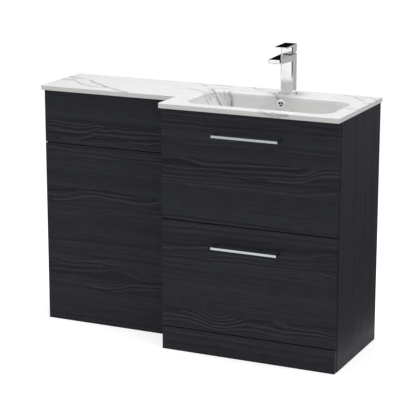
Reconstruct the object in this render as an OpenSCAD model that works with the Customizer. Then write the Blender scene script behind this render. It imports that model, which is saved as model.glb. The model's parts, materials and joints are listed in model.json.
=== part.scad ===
// Bathroom furniture run: a back-to-wall toilet unit and a two-drawer vanity
// unit stand side by side under one L-shaped basin top. X runs from the toilet
// unit to the vanity unit, Y runs back to the wall, Z is up from the floor.

/* [Cabinets] */
// Width of the toilet unit
wc_w = 500; // [450:5:600]
// Width of the vanity unit
vanity_w = 600; // [560:5:700]
// Depth of the vanity unit from drawer fronts to wall
vanity_d = 380; // [370:5:450]
// Depth of the toilet unit from its fronts to the wall
wc_d = 251; // [220:1:300]
// Height of the cabinets under the basin top
cabinet_h = 801; // [790:1:850]
// Thickness of the carcass boards
board_t = 16; // [15:0.5:18]
// Thickness of fronts and plinth
front_t = 18; // [16:0.5:20]
// Gap between fronts that meet
front_gap = 3; // [2:0.5:4]
// Gap left at each side of a front
side_gap = 1; // [0.5:0.5:1.5]
// Shadow gap between the fronts and the carcass edges
shadow_gap = 2; // [1.5:0.5:3]
// Height of the plinth
plinth_h = 78; // [70:1:90]
// Height of the toilet unit's upper front
upper_front_h = 176; // [160:1:200]
// Width of the rails
rail_w = 80; // [60:5:90]
// Radius of the wall-fixing holes in the back rails
wall_hole_r = 3; // [2.5:0.5:4]
// Distance between the vanity's wall-fixing holes
vanity_hole_span = 400; // [300:10:450]
// Distance between the toilet unit's wall-fixing holes
wc_hole_span = 300; // [250:10:350]

/* [Basin top] */
// Thickness of the slab
slab_t = 16; // [14:1:20]
// Overhang of the slab past the drawer fronts
front_overhang = 18; // [12:1:25]
// Overhang of the slab past the toilet unit's fronts
wc_overhang = 16; // [10:1:25]
// Overhang of the slab at each outer side
side_overhang = 5; // [3:1:10]
// Overhang of the deep part past the joint of the cabinets
step_overhang = 3; // [2:1:6]
// Radius of the slab's front corners
slab_corner_r = 7; // [3:1:12]
// Distance from the vanity unit's middle to the bowl's centre
bowl_shift = 8; // [0:1:12]
// Width left between the bowl and each outer side of the vanity unit
bowl_margin = 60; // [56:1:90]
// Distance from the drawer fronts to the bowl's front wall
bowl_from_front = 34; // [30:1:38]
// Distance from the wall to the bowl's back wall
bowl_from_back = 130; // [125:1:140]
// Depth of the bowl
bowl_depth = 118; // [100:1:125]
// Thickness of the bowl's wall
bowl_wall = 12; // [9:0.5:13]
// Corner radius of the bowl in plan
bowl_corner_r = 48; // [40:1:60]
// Radius of the rolled rim
rim_r = 12; // [8:1:14]
// Radius between walls and floor of the bowl
floor_r = 30; // [20:1:34]
// Lean of the left wall over the bowl's depth
left_lean = 60; // [30:1:70]
// Lean of the right wall over the bowl's depth
right_lean = 30; // [20:1:60]
// Lean of the front wall over the bowl's depth
front_lean = 26; // [15:1:30]
// Lean of the back wall over the bowl's depth
back_lean = 15; // [8:1:20]
// Depth of the overflow's centre below the slab top
overflow_drop = 23; // [21:1:30]
// Outer radius of the overflow ring
overflow_r = 15.5; // [13:0.5:17]
// Radius of the overflow ring's opening
overflow_hole_r = 7.5; // [6:0.5:8]
// Radius of the overflow duct
duct_r = 7; // [5:0.5:8]
// Wall thickness round the duct
duct_wall = 5; // [4:0.5:6]

/* [Waste] */
// Distance from the middle of the bowl's floor back to the waste's centre
waste_shift = 2.5; // [0:0.5:5]
// Radius of the waste hole
waste_hole_r = 22.5; // [22:0.5:24]
// Radius of the waste's thread
waste_thread_r = 20.95; // [20:0.05:21.2]
// Wall of the waste's tube
waste_wall = 3; // [2:0.5:4]
// Radius of the waste's flange
waste_flange_r = 31; // [29:0.5:33]
// Thickness of the waste's flange
waste_flange_t = 2.5; // [2:0.5:4]
// Free thread below the back nut
waste_tail = 36; // [25:1:50]
// Height of the relief groove between the back nut and the free thread
waste_relief_h = 1.5; // [1:0.5:3]
// Height of the boss below the bowl's floor
boss_h = 18; // [17:1:24]
// Height of the back nut
nut_h = 10; // [8:1:14]
// Thickness of the rubber seal
seal_t = 3; // [2:0.5:4]
// Radius of the plug's cap
plug_r = 30; // [28:0.5:31]
// Travel of the plug
plug_lift = 6; // [5:0.5:8]
// Radius of the plug's stem
plug_stem_r = 4; // [3:0.5:5]

/* [Tap] */
// Width of the tap
tap_w = 42; // [38:1:48]
// Depth of the tap's body
tap_d = 40; // [38:1:46]
// Height of the tap's body above the slab
tap_h = 131; // [120:1:150]
// Distance from the overflow rib to the tap's centre
tap_from_rib = 30; // [27:1:34]
// Radius of the tap hole
tap_hole_r = 17.5; // [17:0.5:18.5]
// Radius of the base ring
base_ring_r = 30; // [29:0.5:34]
// Height of the base ring
base_ring_h = 3; // [2:0.5:5]
// Reach of the spout from the body's front
spout_reach = 103; // [85:1:120]
// Depth of the spout at its tip, from the body's top level down
spout_tip_t = 16; // [15:0.5:20]
// Fall of the spout's top from the body to its tip
spout_fall = 3; // [0:0.5:4]
// Thickness of the spout at its root
spout_root_t = 20; // [16:0.5:24]
// Seam between body and lever
lever_seam = 2.5; // [2:0.25:4]
// Height of the lever's block under the plate
lever_block_h = 24; // [22:1:30]
// Thickness of the lever's plate
lever_plate_t = 6; // [4:0.5:8]
// Fall of the lever's top from its back to its front edge
lever_fall = 2; // [0:0.5:3]
// Reach of the lever's plate past the body's front
lever_reach = 55; // [40:1:65]
// Angle that the lever lifts
lever_lift = 20; // [15:1:22]
// Radius of the threaded hose inlets
inlet_r = 4.5; // [4:0.25:4.75]
// Length of the threaded hose inlets
inlet_len = 14; // [10:1:18]
// Radius of the fixing stud
stud_r = 4; // [3:0.5:4]
// Length of the fixing stud below the slab top
stud_drop = 70; // [55:1:80]
// Depth of the cartridge in the body
cartridge_len = 46; // [42:1:50]
// Depth of the turning core in the body
core_depth = 21; // [18:1:24]

/* [Drawers] */
// Space between the drawer boxes and the wall
behind_drawers = 62; // [56:1:75]
// Height of the drawer sides
drawer_h = 160; // [120:5:165]
// Thickness of drawer sides and backs
drawer_t = 12; // [10:0.5:15]
// Thickness of the drawer bases
drawer_base_t = 8; // [6:1:10]
// Height of a box's underside above its front's lower edge
drawer_rise = 20; // [18:1:30]
// Outer width of the well round the waste pipe
well_w = 170; // [120:5:200]
// Distance from the waste's centre to the well's front
well_from_waste = 65; // [55:1:75]
// Space for a runner at each side
runner_space = 13; // [12:0.5:15]
// Length by which the runners are shorter than the boxes
runner_short = 10; // [6:1:40]
// Height of the runners
runner_h = 45; // [35:1:50]
// Sheet thickness of the runner members
runner_t = 1.2; // [1:0.1:1.5]
// Play between the runner members
runner_play = 0.4; // [0.3:0.05:0.5]
// Height of the runner's centre above the box's underside
runner_rise = 60; // [40:1:80]

/* [Handles] */
// Length of a handle
handle_len = 224; // [160:1:320]
// Thickness of the handle's square bar
handle_bar = 8; // [7:0.5:12]
// Reach of a handle from its front
handle_reach = 35; // [28:1:45]
// Distance from a front's upper edge to its handle's centre
handle_drop = 69; // [40:1:90]

/* [Fixings] */
// Radius of the cam discs
cam_r = 7.5; // [6:0.5:8]
// Thickness of the cam discs
cam_t = 12; // [9:0.5:13]
// Distance from a board's end to its cam's centre
cam_inset = 34; // [24:1:40]
// Radius of the handle screws
screw_r = 2; // [1.5:0.25:2.5]
// Leg length of the angle brackets
bracket_leg = 25; // [20:1:35]
// Sheet thickness of the angle brackets
bracket_t = 2; // [1.5:0.25:3]
// Length of the angle brackets
bracket_len = 30; // [20:1:40]
// Distance from a front's ends to its angle brackets
bracket_inset = 90; // [60:5:120]
// Distance from the access panel's edges to its clips
clip_inset = 60; // [45:1:70]
// Radius of the access panel's clip studs
clip_r = 5; // [4:0.5:6]
// Width of the corner blocks and clip sockets
block_w = 20; // [16:1:22]
// Distance between the bowl and the corner blocks behind it
block_gap = 10; // [4:1:20]
// Distance from the front edges to the front connecting screws
connecting_front = 30; // [20:1:45]
// Distance from the wall to the back connecting screws
connecting_back = 50; // [40:1:70]
// Height of the lower connecting screws
connecting_low = 296; // [200:1:350]
// Distance from the cabinet tops to the upper connecting screws
connecting_drop = 104; // [80:1:140]

/* [Hidden] */
$fn = 64;

charcoal = [0.16, 0.17, 0.20];
pale_board = [0.80, 0.80, 0.79];
marble = [0.95, 0.95, 0.94];
chrome = [0.80, 0.81, 0.83];
steel = [0.62, 0.64, 0.67];
brass = [0.76, 0.62, 0.35];
dark_rubber = [0.12, 0.12, 0.12];
white_plastic = [0.90, 0.90, 0.89];

// Running clearance of turning and sliding round fits
run_play = 0.08;
// Clearance of a fastener in its hole
fix_play = 0.1;
// Gap kept between flat faces that move past each other
face_play = 0.3;
// Extra length of a cut past the face that it opens
over = 1;
// Thickness of the plates that a blended form is drawn between
sliver = 0.05;

left_x = -(wc_w + vanity_w) / 2;
joint_x = left_x + wc_w;
right_x = joint_x + vanity_w;
back_y = (vanity_d + handle_reach) / 2;
face_y = back_y - vanity_d;
wc_face_y = back_y - wc_d;
frame_y = face_y + front_t + shadow_gap;
wc_frame_y = wc_face_y + front_t + shadow_gap;
top_z = cabinet_h + slab_t;
wc_inner = [left_x + board_t, joint_x - board_t];
vanity_inner = [joint_x + board_t, right_x - board_t];
wc_front_x = [left_x + side_gap, joint_x - side_gap];
vanity_front_x = [joint_x + side_gap, right_x - side_gap];
front_top = cabinet_h - front_gap;

front_h = (front_top - plinth_h - 2 * front_gap) / 2;
lower_front_z = plinth_h + front_gap;
upper_front_z = lower_front_z + front_h + front_gap;
access_z = front_top - upper_front_h;
lower_wc_top = access_z - front_gap;

vanity_mid_x = (joint_x + right_x) / 2;
bowl_x = vanity_mid_x + bowl_shift;
bowl_half = vanity_w / 2 - bowl_margin;
bowl_front_y = face_y + bowl_from_front;
bowl_back_y = back_y - bowl_from_back;
floor_z = top_z - bowl_depth;
boss_z = floor_z - bowl_wall - boss_h;
boss_r = waste_flange_r + 5;
waste_y = (bowl_front_y + front_lean + bowl_back_y - back_lean) / 2 + waste_shift;
nut_z = boss_z - seal_t - nut_h;
tail_z = nut_z - waste_relief_h - waste_tail;
duct_y = bowl_back_y + bowl_wall + duct_r;
rib = duct_r + duct_wall;
passage_r = duct_r - 1;
passage_z = boss_z + boss_h / 2;
back_tilt = atan(back_lean / bowl_depth);
overflow_y = bowl_back_y - back_lean * overflow_drop / bowl_depth;
overflow_sleeve_r = overflow_hole_r + 1.5;
overflow_sleeve_len = 8;

tap_y = duct_y + rib + tap_from_rib;
stud_y = -tap_d / 4 + 1;
clamp_t = 3;
tap_nut_h = 14;
inlet_x = inlet_r + 4;
inlet_y = tap_d / 4 - 4;
cartridge_r = tap_d / 2 - 2.5;
cartridge_z = tap_h - cartridge_len;
core_r = 8;
core_z = tap_h - core_depth;
core_top = tap_h + 6;
pivot_z = tap_h - 6;
pin_r = 1.5;
stem_w = 6;
slot_play = 0.4;
lever_z = tap_h + lever_seam;
cavity_r = 13;
cavity_top = lever_z + lever_block_h / 2;
stem_top = cavity_top + 7;
lever_screw_r = 2.5;
lever_screw_z = (cavity_top + stem_top) / 2;
plate_z = lever_z + lever_block_h;
lever_back_y = tap_d / 2 - 4;
aerator_r = 11;
aerator_y = -tap_d / 2 - spout_reach + aerator_r + 3;

box_x = [vanity_inner[0] + runner_space, vanity_inner[1] - runner_space];
bay_x = [box_x[0] + drawer_t, box_x[1] - drawer_t];
box_y = [face_y + front_t, back_y - behind_drawers];
upper_box_z = upper_front_z + drawer_rise;
lower_box_z = lower_front_z + drawer_rise;
well_x = [bowl_x - well_w / 2, bowl_x + well_w / 2];
well_y = waste_y - well_from_waste;
runner_y = frame_y + 2;
runner_len = box_y[1] - box_y[0] - runner_short;
handle_screw_x = (handle_len - handle_bar) / 2;
screw_head_r = 2 * screw_r;
screw_head_t = 2.5;
screw_grip = 12;

mid_rail_z = upper_front_z - front_gap / 2 - board_t / 2;
wc_front_rail_z = access_z - front_gap / 2 - rail_w / 2;
back_rail_z = cabinet_h - rail_w;
back_rail_y = back_y - board_t;
base_cam_y = [frame_y + rail_w / 2, back_rail_y - rail_w / 2];
block_h = 1.2 * block_w;
connecting_z = [connecting_low, cabinet_h - connecting_drop];
connecting_y = [wc_frame_y + connecting_front, back_y - connecting_back];
connecting_r = 2.5;
connecting_head_r = 6;
connecting_head_t = 2;
clip_z = [access_z + clip_inset, front_top - clip_inset];
clip_len = 12;
clip_flange_r = clip_r + 3;
clip_flange_t = shadow_gap - face_play;

// A block between two corners
module span(x, y, z) {
    translate([x[0], y[0], z[0]])
        cube([x[1] - x[0], y[1] - y[0], z[1] - z[0]]);
}

// A rectangle whose front two corners are rounded
module front_rounded(x, y, r) {
    translate([x[0] + r, y[0]])
        square([x[1] - x[0] - 2 * r, y[1] - y[0]]);
    translate([x[0], y[0] + r])
        square([x[1] - x[0], y[1] - y[0] - r]);
    for (cx = [x[0] + r, x[1] - r])
        translate([cx, y[0] + r])
            circle(r);
}

// A rectangle with four round corners
module rounded(x, y, r) {
    translate([x[0] + r, y[0]])
        square([x[1] - x[0] - 2 * r, y[1] - y[0]]);
    translate([x[0], y[0] + r])
        square([x[1] - x[0], y[1] - y[0] - 2 * r]);
    for (cx = [x[0] + r, x[1] - r], cy = [y[0] + r, y[1] - r])
        translate([cx, cy])
            circle(r);
}

// The bowl's outline at a depth below the slab top, moved outward by grow
module bowl_level(depth, grow) {
    sink = depth / bowl_depth;
    x = [bowl_x - bowl_half + left_lean * sink - grow, bowl_x + bowl_half - right_lean * sink + grow];
    y = [bowl_front_y + front_lean * sink - grow, bowl_back_y - back_lean * sink + grow];
    translate([0, 0, top_z - depth])
        linear_extrude(sliver)
            rounded(x, y, bowl_corner_r + grow);
}

// The bowl below its rim, as a hollow or, with a wall's thickness, as a shell
module bowl_form(start, wall) {
    hull() {
        bowl_level(start, wall);
        for (a = [0:22.5:90]) {
            arc_r = floor_r + wall;
            bowl_level(bowl_depth - floor_r + arc_r * sin(a), wall - arc_r * (1 - cos(a)));
        }
    }
}

// The rolled rim, opened in three steps
module bowl_rim() {
    for (a = [0:30:60])
        hull() {
            bowl_level(rim_r * (1 - sin(a)), rim_r * (1 - cos(a)));
            bowl_level(rim_r * (1 - sin(a + 30)), rim_r * (1 - cos(a + 30)));
        }
}

module overflow_frame() {
    translate([bowl_x, overflow_y, top_z - overflow_drop])
        rotate([90 - back_tilt, 0, 0])
            children();
}

module basin_top() {
    rib_x = [bowl_x - rib, bowl_x + rib];
    color(marble)
        difference() {
            union() {
                translate([0, 0, cabinet_h])
                    linear_extrude(slab_t) {
                        front_rounded([joint_x - step_overhang, right_x + side_overhang],
                            [face_y - front_overhang, back_y], slab_corner_r);
                        front_rounded([left_x - side_overhang, joint_x + slab_corner_r + step_overhang],
                            [wc_face_y - wc_overhang, back_y], slab_corner_r);
                    }
                bowl_form(slab_t / 2, bowl_wall);
                translate([bowl_x, waste_y, boss_z])
                    cylinder(r = boss_r, h = boss_h + bowl_wall / 2);
                span(rib_x, [waste_y, duct_y + rib], [boss_z, floor_z - bowl_wall / 2]);
                span(rib_x, [bowl_back_y - back_lean, duct_y + rib], [boss_z, cabinet_h + over]);
            }
            bowl_form(rim_r, 0);
            bowl_rim();
            translate([bowl_x, waste_y, boss_z - over])
                cylinder(r = waste_hole_r, h = boss_h + bowl_wall + 2 * over);
            translate([bowl_x, waste_y, passage_z])
                rotate([-90, 0, 0])
                    cylinder(r = passage_r, h = duct_y - waste_y);
            translate([bowl_x, duct_y, passage_z])
                cylinder(r = duct_r, h = top_z - overflow_drop - passage_z);
            overflow_frame()
                translate([0, 0, overflow_y - duct_y])
                    cylinder(r = overflow_sleeve_r + fix_play, h = duct_y - overflow_y + rim_r);
            translate([bowl_x, tap_y, cabinet_h - over])
                cylinder(r = tap_hole_r, h = slab_t + 2 * over);
        }
}

module overflow_ring() {
    ring_t = 2.5;
    bridge_w = 2;
    color(chrome)
        overflow_frame()
            difference() {
                union() {
                    cylinder(r = overflow_r, h = ring_t);
                    translate([0, 0, -overflow_sleeve_len])
                        cylinder(r = overflow_sleeve_r, h = overflow_sleeve_len + ring_t);
                }
                difference() {
                    translate([0, 0, -overflow_sleeve_len - over])
                        cylinder(r = overflow_hole_r, h = overflow_sleeve_len + ring_t + 2 * over);
                    translate([-overflow_hole_r - over, -bridge_w / 2, -bridge_w])
                        cube([2 * (overflow_hole_r + over), bridge_w, bridge_w]);
                }
            }
}

module waste_body() {
    hub_r = plug_stem_r + 3;
    hub_h = 8;
    hub_z = floor_z - 40;
    spoke_w = 2;
    spoke_h = 6;
    relief_r = waste_thread_r - 0.6;
    bore_r = waste_thread_r - waste_wall;
    window = 2 * passage_r;
    color(chrome)
        translate([bowl_x, waste_y, 0])
            difference() {
                union() {
                    difference() {
                        union() {
                            translate([0, 0, floor_z])
                                cylinder(r = waste_flange_r, h = waste_flange_t);
                            translate([0, 0, tail_z])
                                cylinder(r = waste_thread_r, h = floor_z - tail_z + waste_flange_t / 2);
                        }
                        translate([0, 0, tail_z - over])
                            cylinder(r = bore_r, h = floor_z - tail_z + waste_flange_t + 2 * over);
                        translate([-waste_flange_r, -window / 2, passage_z - window / 2])
                            cube([2 * waste_flange_r, window, window]);
                        translate([-window / 2, -waste_flange_r, passage_z - window / 2])
                            cube([window, 2 * waste_flange_r, window]);
                        translate([0, 0, nut_z - waste_relief_h])
                            difference() {
                                cylinder(r = waste_thread_r + over, h = waste_relief_h);
                                translate([0, 0, -over])
                                    cylinder(r = relief_r, h = waste_relief_h + 2 * over);
                            }
                    }
                    translate([0, 0, hub_z])
                        cylinder(r = hub_r, h = hub_h);
                    for (a = [45, 135])
                        rotate([0, 0, a])
                            translate([-bore_r - waste_wall / 2, -spoke_w / 2, hub_z])
                                cube([2 * bore_r + waste_wall, spoke_w, spoke_h]);
                }
                translate([0, 0, hub_z - over])
                    cylinder(r = plug_stem_r + run_play, h = hub_h + 2 * over);
            }
}

module waste_seal() {
    color(dark_rubber)
        translate([bowl_x, waste_y, boss_z - seal_t])
            difference() {
                cylinder(r = boss_r - 4, h = seal_t);
                translate([0, 0, -over])
                    cylinder(r = waste_thread_r + fix_play, h = seal_t + 2 * over);
            }
}

module waste_nut() {
    color(brass)
        translate([bowl_x, waste_y, nut_z])
            difference() {
                cylinder(r = boss_r - 2, h = nut_h, $fn = 6);
                translate([0, 0, -over])
                    cylinder(r = waste_thread_r + fix_play, h = nut_h + 2 * over);
            }
}

module waste_plug() {
    cap_z = floor_z + waste_flange_t + plug_lift + face_play;
    stem_len = 46;
    cap_t = 6;
    edge = 1;
    color(chrome)
        translate([bowl_x, waste_y, cap_z])
            rotate_extrude()
                polygon([
                    [0, -stem_len], [plug_stem_r, -stem_len], [plug_stem_r, 0],
                    [plug_r - edge, 0], [plug_r, edge], [plug_r, cap_t / 2],
                    [plug_r - edge, cap_t / 2 + edge], [plug_r / 2, cap_t - edge / 2], [0, cap_t]
                ]);
}

module tap_base_ring() {
    color(chrome)
        translate([bowl_x, tap_y, top_z])
            difference() {
                cylinder(r = base_ring_r, h = base_ring_h);
                translate([0, 0, -over])
                    cylinder(r = tap_hole_r - 1.5, h = base_ring_h + 2 * over);
            }
}

// The spout from its root to its round-edged tip, seen from the side
module spout_side() {
    tip = spout_reach + tap_d / 2;
    tip_round = 4;
    polygon(concat(
        [[-cartridge_r, tap_h], [-tap_d / 2, tap_h], [-tip, tap_h - spout_fall]],
        [for (a = [180:15:270])
            [-tip + tip_round + tip_round * cos(a), tap_h - spout_tip_t + tip_round + tip_round * sin(a)]],
        [[-cartridge_r, tap_h - spout_root_t]]
    ));
}

module tap_body() {
    edge_r = 2;
    way_step = 0.4;
    way_r = inlet_r - way_step;
    channel_z = tap_h - (spout_tip_t + spout_fall) / 2;
    channel_r = 4;
    color(chrome)
        translate([bowl_x, tap_y, top_z])
            difference() {
                union() {
                    translate([0, 0, base_ring_h])
                        linear_extrude(tap_h - base_ring_h)
                            rounded([-tap_w / 2, tap_w / 2], [-tap_d / 2, tap_d / 2], edge_r);
                    translate([tap_w / 2, 0, 0])
                        rotate([90, 0, -90])
                            linear_extrude(tap_w)
                                mirror([1, 0])
                                    spout_side();
                }
                translate([0, 0, cartridge_z])
                    cylinder(r = cartridge_r + fix_play, h = tap_h - cartridge_z + over);
                for (side = [-1, 1]) {
                    translate([side * inlet_x, inlet_y, base_ring_h - over])
                        cylinder(r = inlet_r, h = inlet_len + over);
                    translate([side * inlet_x, inlet_y, base_ring_h])
                        cylinder(r = way_r, h = cartridge_z - base_ring_h + over);
                }
                translate([0, stud_y, base_ring_h - over])
                    cylinder(r = stud_r + fix_play, h = inlet_len + over + fix_play);
                translate([0, aerator_y, channel_z])
                    rotate([-90, 0, 0])
                        cylinder(r = channel_r, h = -aerator_y);
                translate([0, aerator_y, tap_h - spout_root_t - over])
                    cylinder(r = aerator_r + fix_play, h = channel_z - tap_h + spout_root_t + over);
            }
}

module tap_aerator() {
    height = (spout_tip_t - spout_fall) / 2;
    rim_w = 2;
    jet_r = 1.2;
    color(steel)
        translate([bowl_x, tap_y + aerator_y, top_z + tap_h - spout_tip_t - 1])
            difference() {
                cylinder(r = aerator_r, h = height);
                translate([0, 0, -over])
                    cylinder(r = aerator_r - rim_w, h = height / 2 + over);
                for (a = [0:60:300])
                    rotate([0, 0, a])
                        translate([aerator_r / 2, 0, 0])
                            cylinder(r = jet_r, h = height + over);
            }
}

module tap_cartridge() {
    color(white_plastic)
        translate([bowl_x, tap_y, top_z + cartridge_z])
            difference() {
                cylinder(r = cartridge_r, h = tap_h - cartridge_z - over);
                translate([0, 0, core_z - cartridge_z])
                    cylinder(r = core_r + run_play, h = tap_h - core_z);
            }
}

module tap_core() {
    slot_x = stem_w / 2 + slot_play;
    color(steel)
        translate([bowl_x, tap_y, top_z])
            difference() {
                translate([0, 0, core_z + face_play])
                    cylinder(r = core_r, h = core_top - core_z - face_play);
                span([-slot_x, slot_x], [-core_r + 1.5, core_r + over], [pivot_z - 8, core_top + over]);
                translate([-core_r - over, 0, pivot_z])
                    rotate([0, 90, 0])
                        cylinder(r = pin_r + run_play, h = 2 * (core_r + over));
            }
}

module tap_stem() {
    pin_half = core_r - 1;
    color(steel)
        translate([bowl_x, tap_y, top_z]) {
            span([-stem_w / 2, stem_w / 2], [-stem_w / 2, stem_w / 2], [pivot_z - 4, stem_top]);
            translate([-pin_half, 0, pivot_z])
                rotate([0, 90, 0])
                    cylinder(r = pin_r, h = 2 * pin_half);
        }
}

// The lever's block and plate, seen from the side
module lever_side() {
    back_rise = lever_back_y * tan(lever_lift);
    polygon([
        [-tap_d / 2, lever_z], [0, lever_z], [lever_back_y, lever_z + back_rise],
        [lever_back_y, plate_z + lever_plate_t],
        [-tap_d / 2 - lever_reach, plate_z + lever_plate_t - lever_fall],
        [-tap_d / 2 - lever_reach, plate_z], [-tap_d / 2, plate_z - 1]
    ]);
}

module tap_lever() {
    socket = stem_w / 2 + fix_play;
    color(chrome)
        translate([bowl_x, tap_y, top_z])
            difference() {
                translate([tap_w / 2, 0, 0])
                    rotate([90, 0, -90])
                        linear_extrude(tap_w)
                            mirror([1, 0])
                                lever_side();
                translate([0, 0, lever_z - over])
                    cylinder(r = cavity_r, h = cavity_top - lever_z + over);
                span([-socket, socket], [-socket, socket], [cavity_top - over, stem_top + fix_play]);
                translate([0, 0, lever_screw_z])
                    rotate([-90, 0, 0])
                        cylinder(r = lever_screw_r + fix_play, h = lever_back_y + over);
            }
}

module lever_screw() {
    start = stem_w / 2 + fix_play;
    length = lever_back_y - start - 1;
    key_r = 1.4;
    key_depth = 3;
    color(steel)
        translate([bowl_x, tap_y + start, top_z + lever_screw_z])
            rotate([-90, 0, 0])
                difference() {
                    cylinder(r = lever_screw_r, h = length);
                    translate([0, 0, length - key_depth])
                        cylinder(r = key_r, h = key_depth + over, $fn = 6);
                }
}

module tap_stud() {
    color(steel)
        translate([bowl_x, tap_y + stud_y, top_z - stud_drop])
            cylinder(r = stud_r, h = stud_drop + base_ring_h + inlet_len);
}

module tap_clamp_plate() {
    slot_x = inlet_x + inlet_r + 1;
    plate_r = tap_hole_r + 5;
    color(steel)
        translate([bowl_x, tap_y, cabinet_h - clamp_t])
            difference() {
                cylinder(r = plate_r, h = clamp_t);
                span([-slot_x, slot_x], [stud_y + stud_r + 2, plate_r + over], [-over, clamp_t + over]);
                translate([0, stud_y, -over])
                    cylinder(r = stud_r + fix_play, h = clamp_t + 2 * over);
            }
}

module tap_nut() {
    color(brass)
        translate([bowl_x, tap_y + stud_y, cabinet_h - clamp_t - tap_nut_h])
            difference() {
                cylinder(r = stud_r + 3.5, h = tap_nut_h, $fn = 6);
                translate([0, 0, -over])
                    cylinder(r = stud_r + fix_play, h = tap_nut_h + 2 * over);
            }
}

// Cam discs or their pockets, near both ends of a board that lies flat
module flat_cams(x, y, z, play) {
    for (cx = [x[0] + cam_inset, x[1] - cam_inset])
        translate([cx, y, z])
            cam(play);
}

// The same for a board that stands upright, let in from its front
module upright_cams(x, y, z, play) {
    for (cx = [x[0] + cam_inset, x[1] - cam_inset])
        translate([cx, y, z])
            rotate([-90, 0, 0])
                cam(play);
}

module cam(play) {
    slot_w = 1.5;
    slot_d = 2;
    if (play > 0)
        translate([0, 0, -over])
            cylinder(r = cam_r + play, h = cam_t + play + over);
    else
        difference() {
            cylinder(r = cam_r, h = cam_t);
            translate([-cam_r * 0.6, -slot_w / 2, -over])
                cube([cam_r * 1.2, slot_w, slot_d + over]);
            translate([-slot_w / 2, -cam_r * 0.6, -over])
                cube([slot_w, cam_r * 1.2, slot_d + over]);
        }
}

module wc_side_left() {
    color(charcoal)
        span([left_x, wc_inner[0]], [wc_frame_y, back_y], [0, cabinet_h]);
}

module connecting_holes() {
    for (y = connecting_y, z = connecting_z)
        translate([joint_x - board_t - over, y, z])
            rotate([0, 90, 0])
                cylinder(r = connecting_r + fix_play, h = 2 * (board_t + over));
}

module wc_side_right() {
    color(charcoal)
        difference() {
            span([wc_inner[1], joint_x], [wc_frame_y, back_y], [0, cabinet_h]);
            connecting_holes();
        }
}

module wc_lower_front() {
    color(charcoal)
        span(wc_front_x, [wc_face_y, wc_face_y + front_t], [0, lower_wc_top]);
}

module wc_upper_front() {
    color(charcoal)
        span(wc_front_x, [wc_face_y, wc_face_y + front_t], [access_z, front_top]);
}

module wc_front_rail() {
    color(pale_board)
        difference() {
            span(wc_inner, [wc_frame_y, wc_frame_y + board_t], [wc_front_rail_z, wc_front_rail_z + rail_w]);
            upright_cams(wc_inner, wc_frame_y, wc_front_rail_z + rail_w / 2, fix_play);
        }
}

module wc_top_rail() {
    color(pale_board)
        difference() {
            span(wc_inner, [wc_frame_y, wc_frame_y + rail_w], [cabinet_h - board_t, cabinet_h]);
            flat_cams(wc_inner, wc_frame_y + rail_w / 2, cabinet_h - board_t, fix_play);
        }
}

// A back rail with two wall-fixing holes
module back_rail(x, z, hole_span) {
    middle = (x[0] + x[1]) / 2;
    color(pale_board)
        difference() {
            span(x, [back_rail_y, back_y], [z, z + rail_w]);
            upright_cams(x, back_rail_y, z + rail_w / 2, fix_play);
            for (side = [-1, 1])
                translate([middle + side * hole_span / 2, back_rail_y - over, z + rail_w / 2])
                    rotate([-90, 0, 0])
                        cylinder(r = wall_hole_r, h = board_t + 2 * over);
        }
}

// A back rail low down, without wall-fixing holes
module low_rail(x, z) {
    color(pale_board)
        difference() {
            span(x, [back_rail_y, back_y], [z, z + rail_w]);
            upright_cams(x, back_rail_y, z + rail_w / 2, fix_play);
        }
}

module wc_back_rail() {
    back_rail(wc_inner, back_rail_z, wc_hole_span);
}

module wc_bottom_rail() {
    low_rail(wc_inner, 0);
}

// Angle bracket: one leg on the side board, the other behind the front
module angle_bracket() {
    hole_r = 2;
    half = bracket_len / 2;
    difference() {
        union() {
            span([0, bracket_t], [-shadow_gap, bracket_leg - shadow_gap], [-half, half]);
            span([0, bracket_leg], [-shadow_gap, bracket_t - shadow_gap], [-half, half]);
        }
        translate([-over, bracket_leg * 0.6 - shadow_gap, 0])
            rotate([0, 90, 0])
                cylinder(r = hole_r, h = bracket_t + 2 * over);
        translate([bracket_leg * 0.6, -shadow_gap - over, 0])
            rotate([-90, 0, 0])
                cylinder(r = hole_r, h = bracket_t + 2 * over);
    }
}

module bracket_pair(x, y, z) {
    translate([x[0], y, z])
        angle_bracket();
    translate([x[1], y, z])
        mirror([1, 0, 0])
            angle_bracket();
}

module wc_front_brackets() {
    color(steel)
        for (z = [bracket_inset, lower_wc_top - bracket_inset])
            bracket_pair(wc_inner, wc_frame_y, z);
}

module clip_socket() {
    difference() {
        span([0, block_w], [0, block_h], [-block_h / 2, block_h / 2]);
        translate([block_w / 2, -over, 0])
            rotate([-90, 0, 0])
                cylinder(r = clip_r + run_play, h = clip_len + 2 * over);
    }
}

module panel_clip_sockets() {
    color(white_plastic)
        for (z = clip_z) {
            translate([wc_inner[0], wc_frame_y, z])
                clip_socket();
            translate([wc_inner[1], wc_frame_y, z])
                mirror([1, 0, 0])
                    clip_socket();
        }
}

module panel_clip_studs() {
    color(white_plastic)
        for (x = [wc_inner[0] + block_w / 2, wc_inner[1] - block_w / 2], z = clip_z)
            translate([x, wc_face_y + front_t, z])
                rotate([-90, 0, 0]) {
                    cylinder(r = clip_flange_r, h = clip_flange_t);
                    cylinder(r = clip_r, h = shadow_gap + clip_len);
                }
}

module vanity_side_left() {
    color(charcoal)
        difference() {
            span([joint_x, vanity_inner[0]], [frame_y, back_y], [0, cabinet_h]);
            connecting_holes();
        }
}

module vanity_side_right() {
    color(charcoal)
        span([vanity_inner[1], right_x], [frame_y, back_y], [0, cabinet_h]);
}

module vanity_base() {
    color(pale_board)
        difference() {
            span(vanity_inner, [frame_y, back_rail_y], [plinth_h, plinth_h + board_t]);
            for (y = base_cam_y)
                flat_cams(vanity_inner, y, plinth_h, fix_play);
        }
}

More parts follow.
